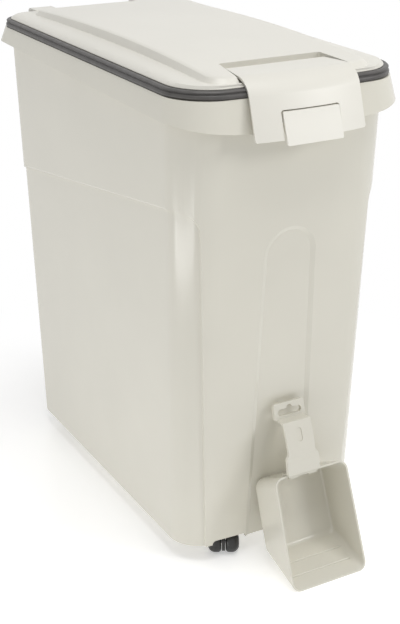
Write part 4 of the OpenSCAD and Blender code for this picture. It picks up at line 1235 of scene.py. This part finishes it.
def model_strap():
    """The bent strap, upright over the middle of the mouth's upper edge."""
    s = bpy.context.scene.container_scoop
    low, front, back = s.clip_gap + s.hook_t / 2, [], []
    for step in range(STRAP_STEPS + 1):
        z = low + (s.strap_h - low) * step / STRAP_STEPS
        swelling = s.foot_step * min(max((s.foot_h - z) / FOOT_SLOPE, 0), 1)
        front.append((strap_back(z) - s.strap_t / 2 - swelling, z))
        back.append((strap_back(z) + s.strap_t / 2, z))
    profile = front + back[::-1]
    strap = prism("scoop_strap", [(-s.foot_w, *point) for point in profile], (2 * s.foot_w, 0, 0))
    neck = s.foot_h + (s.foot_w - s.strap_w) / 2
    right = [(s.foot_w / 2, -s.foot_h), (s.foot_w / 2, s.foot_h), (s.strap_w / 2, neck),
             (s.strap_top_w / 2, s.strap_h + s.foot_h)]
    sides = [(x, -FAR, z) for x, z in right] + [(-x, -FAR, z) for x, z in reversed(right)]
    rounded = [(sides[k], STRAP_ROUND) for k in (1, 2, 5, 6)]
    combine(strap, prism("sides", sides, (0, 2 * FAR, 0), rounded), "INTERSECT")
    dimple = [(x, -s.strap_t, z) for x, z in oblong(s.dimple_w, s.dimple_h)]
    cutter = prism("dimple", dimple, (0, s.strap_t / 2 + s.dimple_depth, 0),
                   [(p, FULL_ROUND * s.dimple_w) for p in dimple])
    slope = math.tan(s.strap_lean) + 2 * s.strap_bend * s.dimple_z / s.strap_h ** 2
    place(cutter, (0, strap_back(s.dimple_z), s.dimple_z), -math.atan(slope))
    combine(strap, cutter, "DIFFERENCE")
    half, y = (s.strap_top_w - s.strap_t) / 2, strap_back(s.strap_h)
    high = s.strap_h - s.ledge_drop
    combine(strap, block("ledge", (-half, y, high - s.strap_t), (half, y + s.ledge_l, high)), "UNION")
    return strap


def model_head():
    """The handle's head with its hang slot, standing on its lower edge."""
    s = bpy.context.scene.container_scoop
    thick, middle = s.strap_t + s.head_step, s.head_h / 2
    corners = [(x, thick / 2, middle + z) for x, z in oblong(s.head_w, s.head_h)]
    head = prism("head", corners, (0, -thick, 0), [(p, s.head_r) for p in corners])
    low = middle - s.slot_drop
    for w, z0 in ((s.slot_w, low), (s.slot_h, low + s.slot_h / 2)):
        slot = [(x, -thick, z0 + z) for x, z in oblong(w, s.slot_h)]
        ends = [(p, FULL_ROUND * s.slot_h) for p in slot]
        combine(head, prism("slot", slot, (0, 2 * thick, 0), ends), "DIFFERENCE")
    return head


def model_handle():
    """The strap, the head and the clip joined, over the scoop's mouth."""
    s = bpy.context.scene.container_scoop
    strap, head, clip = model_strap(), model_head(), model_clip()
    place(head, (0, strap_back(s.strap_h) + s.ledge_l, s.strap_h - s.strap_t), -s.head_lean)
    combine(strap, head, "UNION")
    where = scoop_place() + Vector((s.handle_x, 0, 0))
    place(strap, where - Vector((0, s.clip_gap + s.hook_t / 2, 0)))
    place(clip, where, -s.lean)
    combine(strap, clip, "UNION")
    soften(strap, SCOOP_SOFTNESS)
    return strap


class CONTAINER_OT_scoop(bpy.types.Operator):
    """Model the scoop and its clip-on handle"""
    bl_idname = "container.scoop"
    bl_label = "Scoop"

    def execute(self, context):
        dress(model_bucket(), finish_of("bin_plastic"), "scoop", "bin_plastic", "scoop_bucket")
        dress(model_handle(), finish_of("bin_plastic"), "scoop", "bin_plastic", "scoop_handle")
        return {"FINISHED"}


# The casters

def model_wheel():
    """One wheel, its axle along X and its inner face towards the caster's middle."""
    s = bpy.context.scene.container_caster
    inner, outer = s.inner_x, s.inner_x + s.wheel_w
    points = [(inner, s.bore_r)]
    quarter = [math.pi / 2 * step / SHOULDER_STEPS for step in range(SHOULDER_STEPS + 1)]
    for end, radius, turns in ((inner, -s.inner_round, quarter[::-1]), (outer, s.shoulder, quarter)):
        for turned in turns:
            points.append((end - radius * (1 - math.sin(turned)),
                           s.wheel_r - abs(radius) * (1 - math.cos(turned))))
    points += [(outer - s.dish, s.wheel_r - s.shoulder - s.dish), (outer - s.dish, s.bore_r)]
    piece = begin("wheel")
    flat([(x, 0, r) for x, r in points])
    bpy.ops.mesh.delete(type="ONLY_FACE")
    everything()
    bpy.ops.mesh.spin(steps=WHEEL_STEPS, angle=2 * math.pi, axis=(1, 0, 0), center=(0, 0, 0))
    close(piece)
    bpy.ops.object.shade_smooth_by_angle(angle=math.radians(WHEEL_SMOOTH))
    return piece


class CONTAINER_OT_wheels(bpy.types.Operator):
    """Model a caster wheel and copy it to the eight places"""
    bl_idname = "container.wheels"
    bl_label = "Wheels"

    def execute(self, context):
        s = context.scene.container_caster
        master = model_wheel()
        for corner in CORNERS:
            stem = joint_place(f"swivel_{corner}")
            back = Vector((0, -s.trail, 0))
            back.rotate(Euler((0, 0, s.turned)))
            where = (stem.x + back.x, stem.y + back.y, s.wheel_r)
            for letter, swivel in (("b", s.turned), ("a", s.turned + math.pi)):
                name = f"wheel_{corner}_{letter}"
                wheel = copy_of(master, f"{name}_moulding")
                place(wheel, where, swivel=swivel)
                dress(wheel, finish_of("wheel_plastic"), name, "wheel_plastic", name)
        bpy.data.objects.remove(master)
        return {"FINISHED"}


# Pieces that stay as the frame has them

class CONTAINER_OT_hardware(bpy.types.Operator):
    """Finish the pins, stems, axles and housings of the frame"""
    bl_idname = "container.hardware"
    bl_label = "Hardware"

    def execute(self, context):
        slots = {p["node"]: p["material_slot"] for p in frame["record"]["subparts"]}
        for name, piece in frame["nodes"].items():
            piece.data.materials.clear()
            piece.data.materials.append(finish_of(slots[name]))
        return {"FINISHED"}


# Stage

def lamp(name, where, target, size, power):
    """An area lamp that faces a target, its power in watts."""
    light = bpy.data.lights.new(name, "AREA")
    light.shape = "RECTANGLE"
    light.size, light.size_y = size
    light.energy = power
    holder = bpy.data.objects.new(name, light)
    holder.location = where
    holder.rotation_euler = (Vector(target) - Vector(where)).to_track_quat("-Z", "Y").to_euler()
    bpy.context.collection.objects.link(holder)


def floor_finish():
    """A white floor that keeps the shadow near the object and fades to plain white."""
    finish, tree, shader = new_finish("studio_floor")
    shader.inputs["Roughness"].default_value = FLOOR_ROUGH
    shader.inputs["Base Color"].default_value = FLOOR_COLOUR
    shader.inputs["Emission Color"].default_value = WHITE
    shader.inputs["Emission Strength"].default_value = FLOOR_GLOW
    glow = node(tree, "ShaderNodeEmission", Strength=1.0)
    glow.inputs["Color"].default_value = WHITE
    where = node(tree, "ShaderNodeTexCoord")
    reach = node(tree, "ShaderNodeVectorMath", operation="LENGTH")
    tree.links.new(where.outputs["Object"], reach.inputs[0])
    fade = node(tree, "ShaderNodeMapRange", interpolation_type="SMOOTHSTEP")
    fade.inputs["From Min"].default_value, fade.inputs["From Max"].default_value = SHADOW_FADE
    tree.links.new(reach.outputs["Value"], fade.inputs["Value"])
    mix = node(tree, "ShaderNodeMixShader")
    tree.links.new(fade.outputs["Result"], mix.inputs["Fac"])
    tree.links.new(shader.outputs["BSDF"], mix.inputs[1])
    tree.links.new(glow.outputs["Emission"], mix.inputs[2])
    tree.links.new(mix.outputs["Shader"], tree.nodes["Material Output"].inputs["Surface"])
    return finish


def studio_world():
    """A soft even surround, plain white where the camera sees it."""
    world = bpy.data.worlds.new("studio")
    world.use_nodes = True
    tree = world.node_tree
    surround = tree.nodes["Background"]
    surround.inputs["Color"].default_value = WHITE
    surround.inputs["Strength"].default_value = SURROUND
    white = node(tree, "ShaderNodeBackground", Strength=1.0)
    white.inputs["Color"].default_value = WHITE
    path = node(tree, "ShaderNodeLightPath")
    seen = path.outputs["Is Camera Ray"]
    for ray in ("Is Glossy Ray", "Is Transmission Ray"):
        add = node(tree, "ShaderNodeMath", operation="ADD", use_clamp=True)
        tree.links.new(seen, add.inputs[0])
        tree.links.new(path.outputs[ray], add.inputs[1])
        seen = add.outputs["Value"]
    mix = node(tree, "ShaderNodeMixShader")
    tree.links.new(seen, mix.inputs["Fac"])
    tree.links.new(surround.outputs["Background"], mix.inputs[1])
    tree.links.new(white.outputs["Background"], mix.inputs[2])
    tree.links.new(mix.outputs["Shader"], tree.nodes["World Output"].inputs["Surface"])
    bpy.context.scene.world = world


class CONTAINER_OT_stage(bpy.types.Operator):
    """Set the floor, the soft lights and the camera"""
    bl_idname = "container.stage"
    bl_label = "Stage"

    def execute(self, context):
        bpy.ops.object.select_all(action="DESELECT")
        bpy.ops.mesh.primitive_plane_add(size=FLOOR_SIZE)
        floor = context.object
        floor.name = "studio_floor"
        floor.data.materials.append(floor_finish())
        studio_world()
        lamp("key", where=(1.6, -2.0, 1.5), target=(0, 0, 0.25), size=(0.7, 0.7), power=16)
        lamp("side", where=(-0.85, -0.3, 0.06), target=(0, -0.15, 0.3), size=(0.9, 0.1), power=1.3)
        lamp("top", where=(0.0, -0.6, 2.6), target=(0, 0, 0.3), size=(1.4, 1.4), power=26)
        camera = bpy.data.objects.new("camera", bpy.data.cameras.new("camera"))
        camera.location = CAMERA_PLACE
        camera.rotation_euler = [math.radians(angle) for angle in CAMERA_TURN]
        camera.data.lens = LENS
        camera.data.sensor_width = SENSOR
        context.collection.objects.link(camera)
        context.scene.camera = camera
        context.scene.view_settings.view_transform = "Standard"
        return {"FINISHED"}


# Panel and registration

class CONTAINER_PT_panel(bpy.types.Panel):
    """Lists the container's pieces and finishes"""
    bl_idname = "CONTAINER_PT_panel"
    bl_label = "Pet food container"
    bl_space_type = "VIEW_3D"
    bl_region_type = "UI"
    bl_category = "Container"

    def draw(self, context):
        for kind in OPERATORS:
            self.layout.operator(kind.bl_idname)
        for name in GROUPS:
            group = getattr(context.scene, name)
            for prop in group.__annotations__:
                self.layout.prop(group, prop)


OPERATORS = (
    CONTAINER_OT_stage, CONTAINER_OT_hardware, CONTAINER_OT_bin, CONTAINER_OT_lid,
    CONTAINER_OT_latch, CONTAINER_OT_scoop, CONTAINER_OT_wheels,
)


def register():
    """Register the sizes, the operators and the panel."""
    for kind in (*GROUPS.values(), *OPERATORS, CONTAINER_PT_panel):
        bpy.utils.register_class(kind)
    for name, group in GROUPS.items():
        setattr(bpy.types.Scene, name, bpy.props.PointerProperty(type=group))


def unregister():
    """Take the panel, the operators and the sizes out again."""
    for name in GROUPS:
        delattr(bpy.types.Scene, name)
    for kind in (CONTAINER_PT_panel, *reversed(OPERATORS), *GROUPS.values()):
        bpy.utils.unregister_class(kind)


def main():
    """Model the container."""
    register()
    bpy.ops.container.stage()
    bpy.ops.container.hardware()
    bpy.ops.container.bin()
    bpy.ops.container.lid()
    bpy.ops.container.latch()
    bpy.ops.container.scoop()
    bpy.ops.container.wheels()


if __name__ == "__main__":
    main()
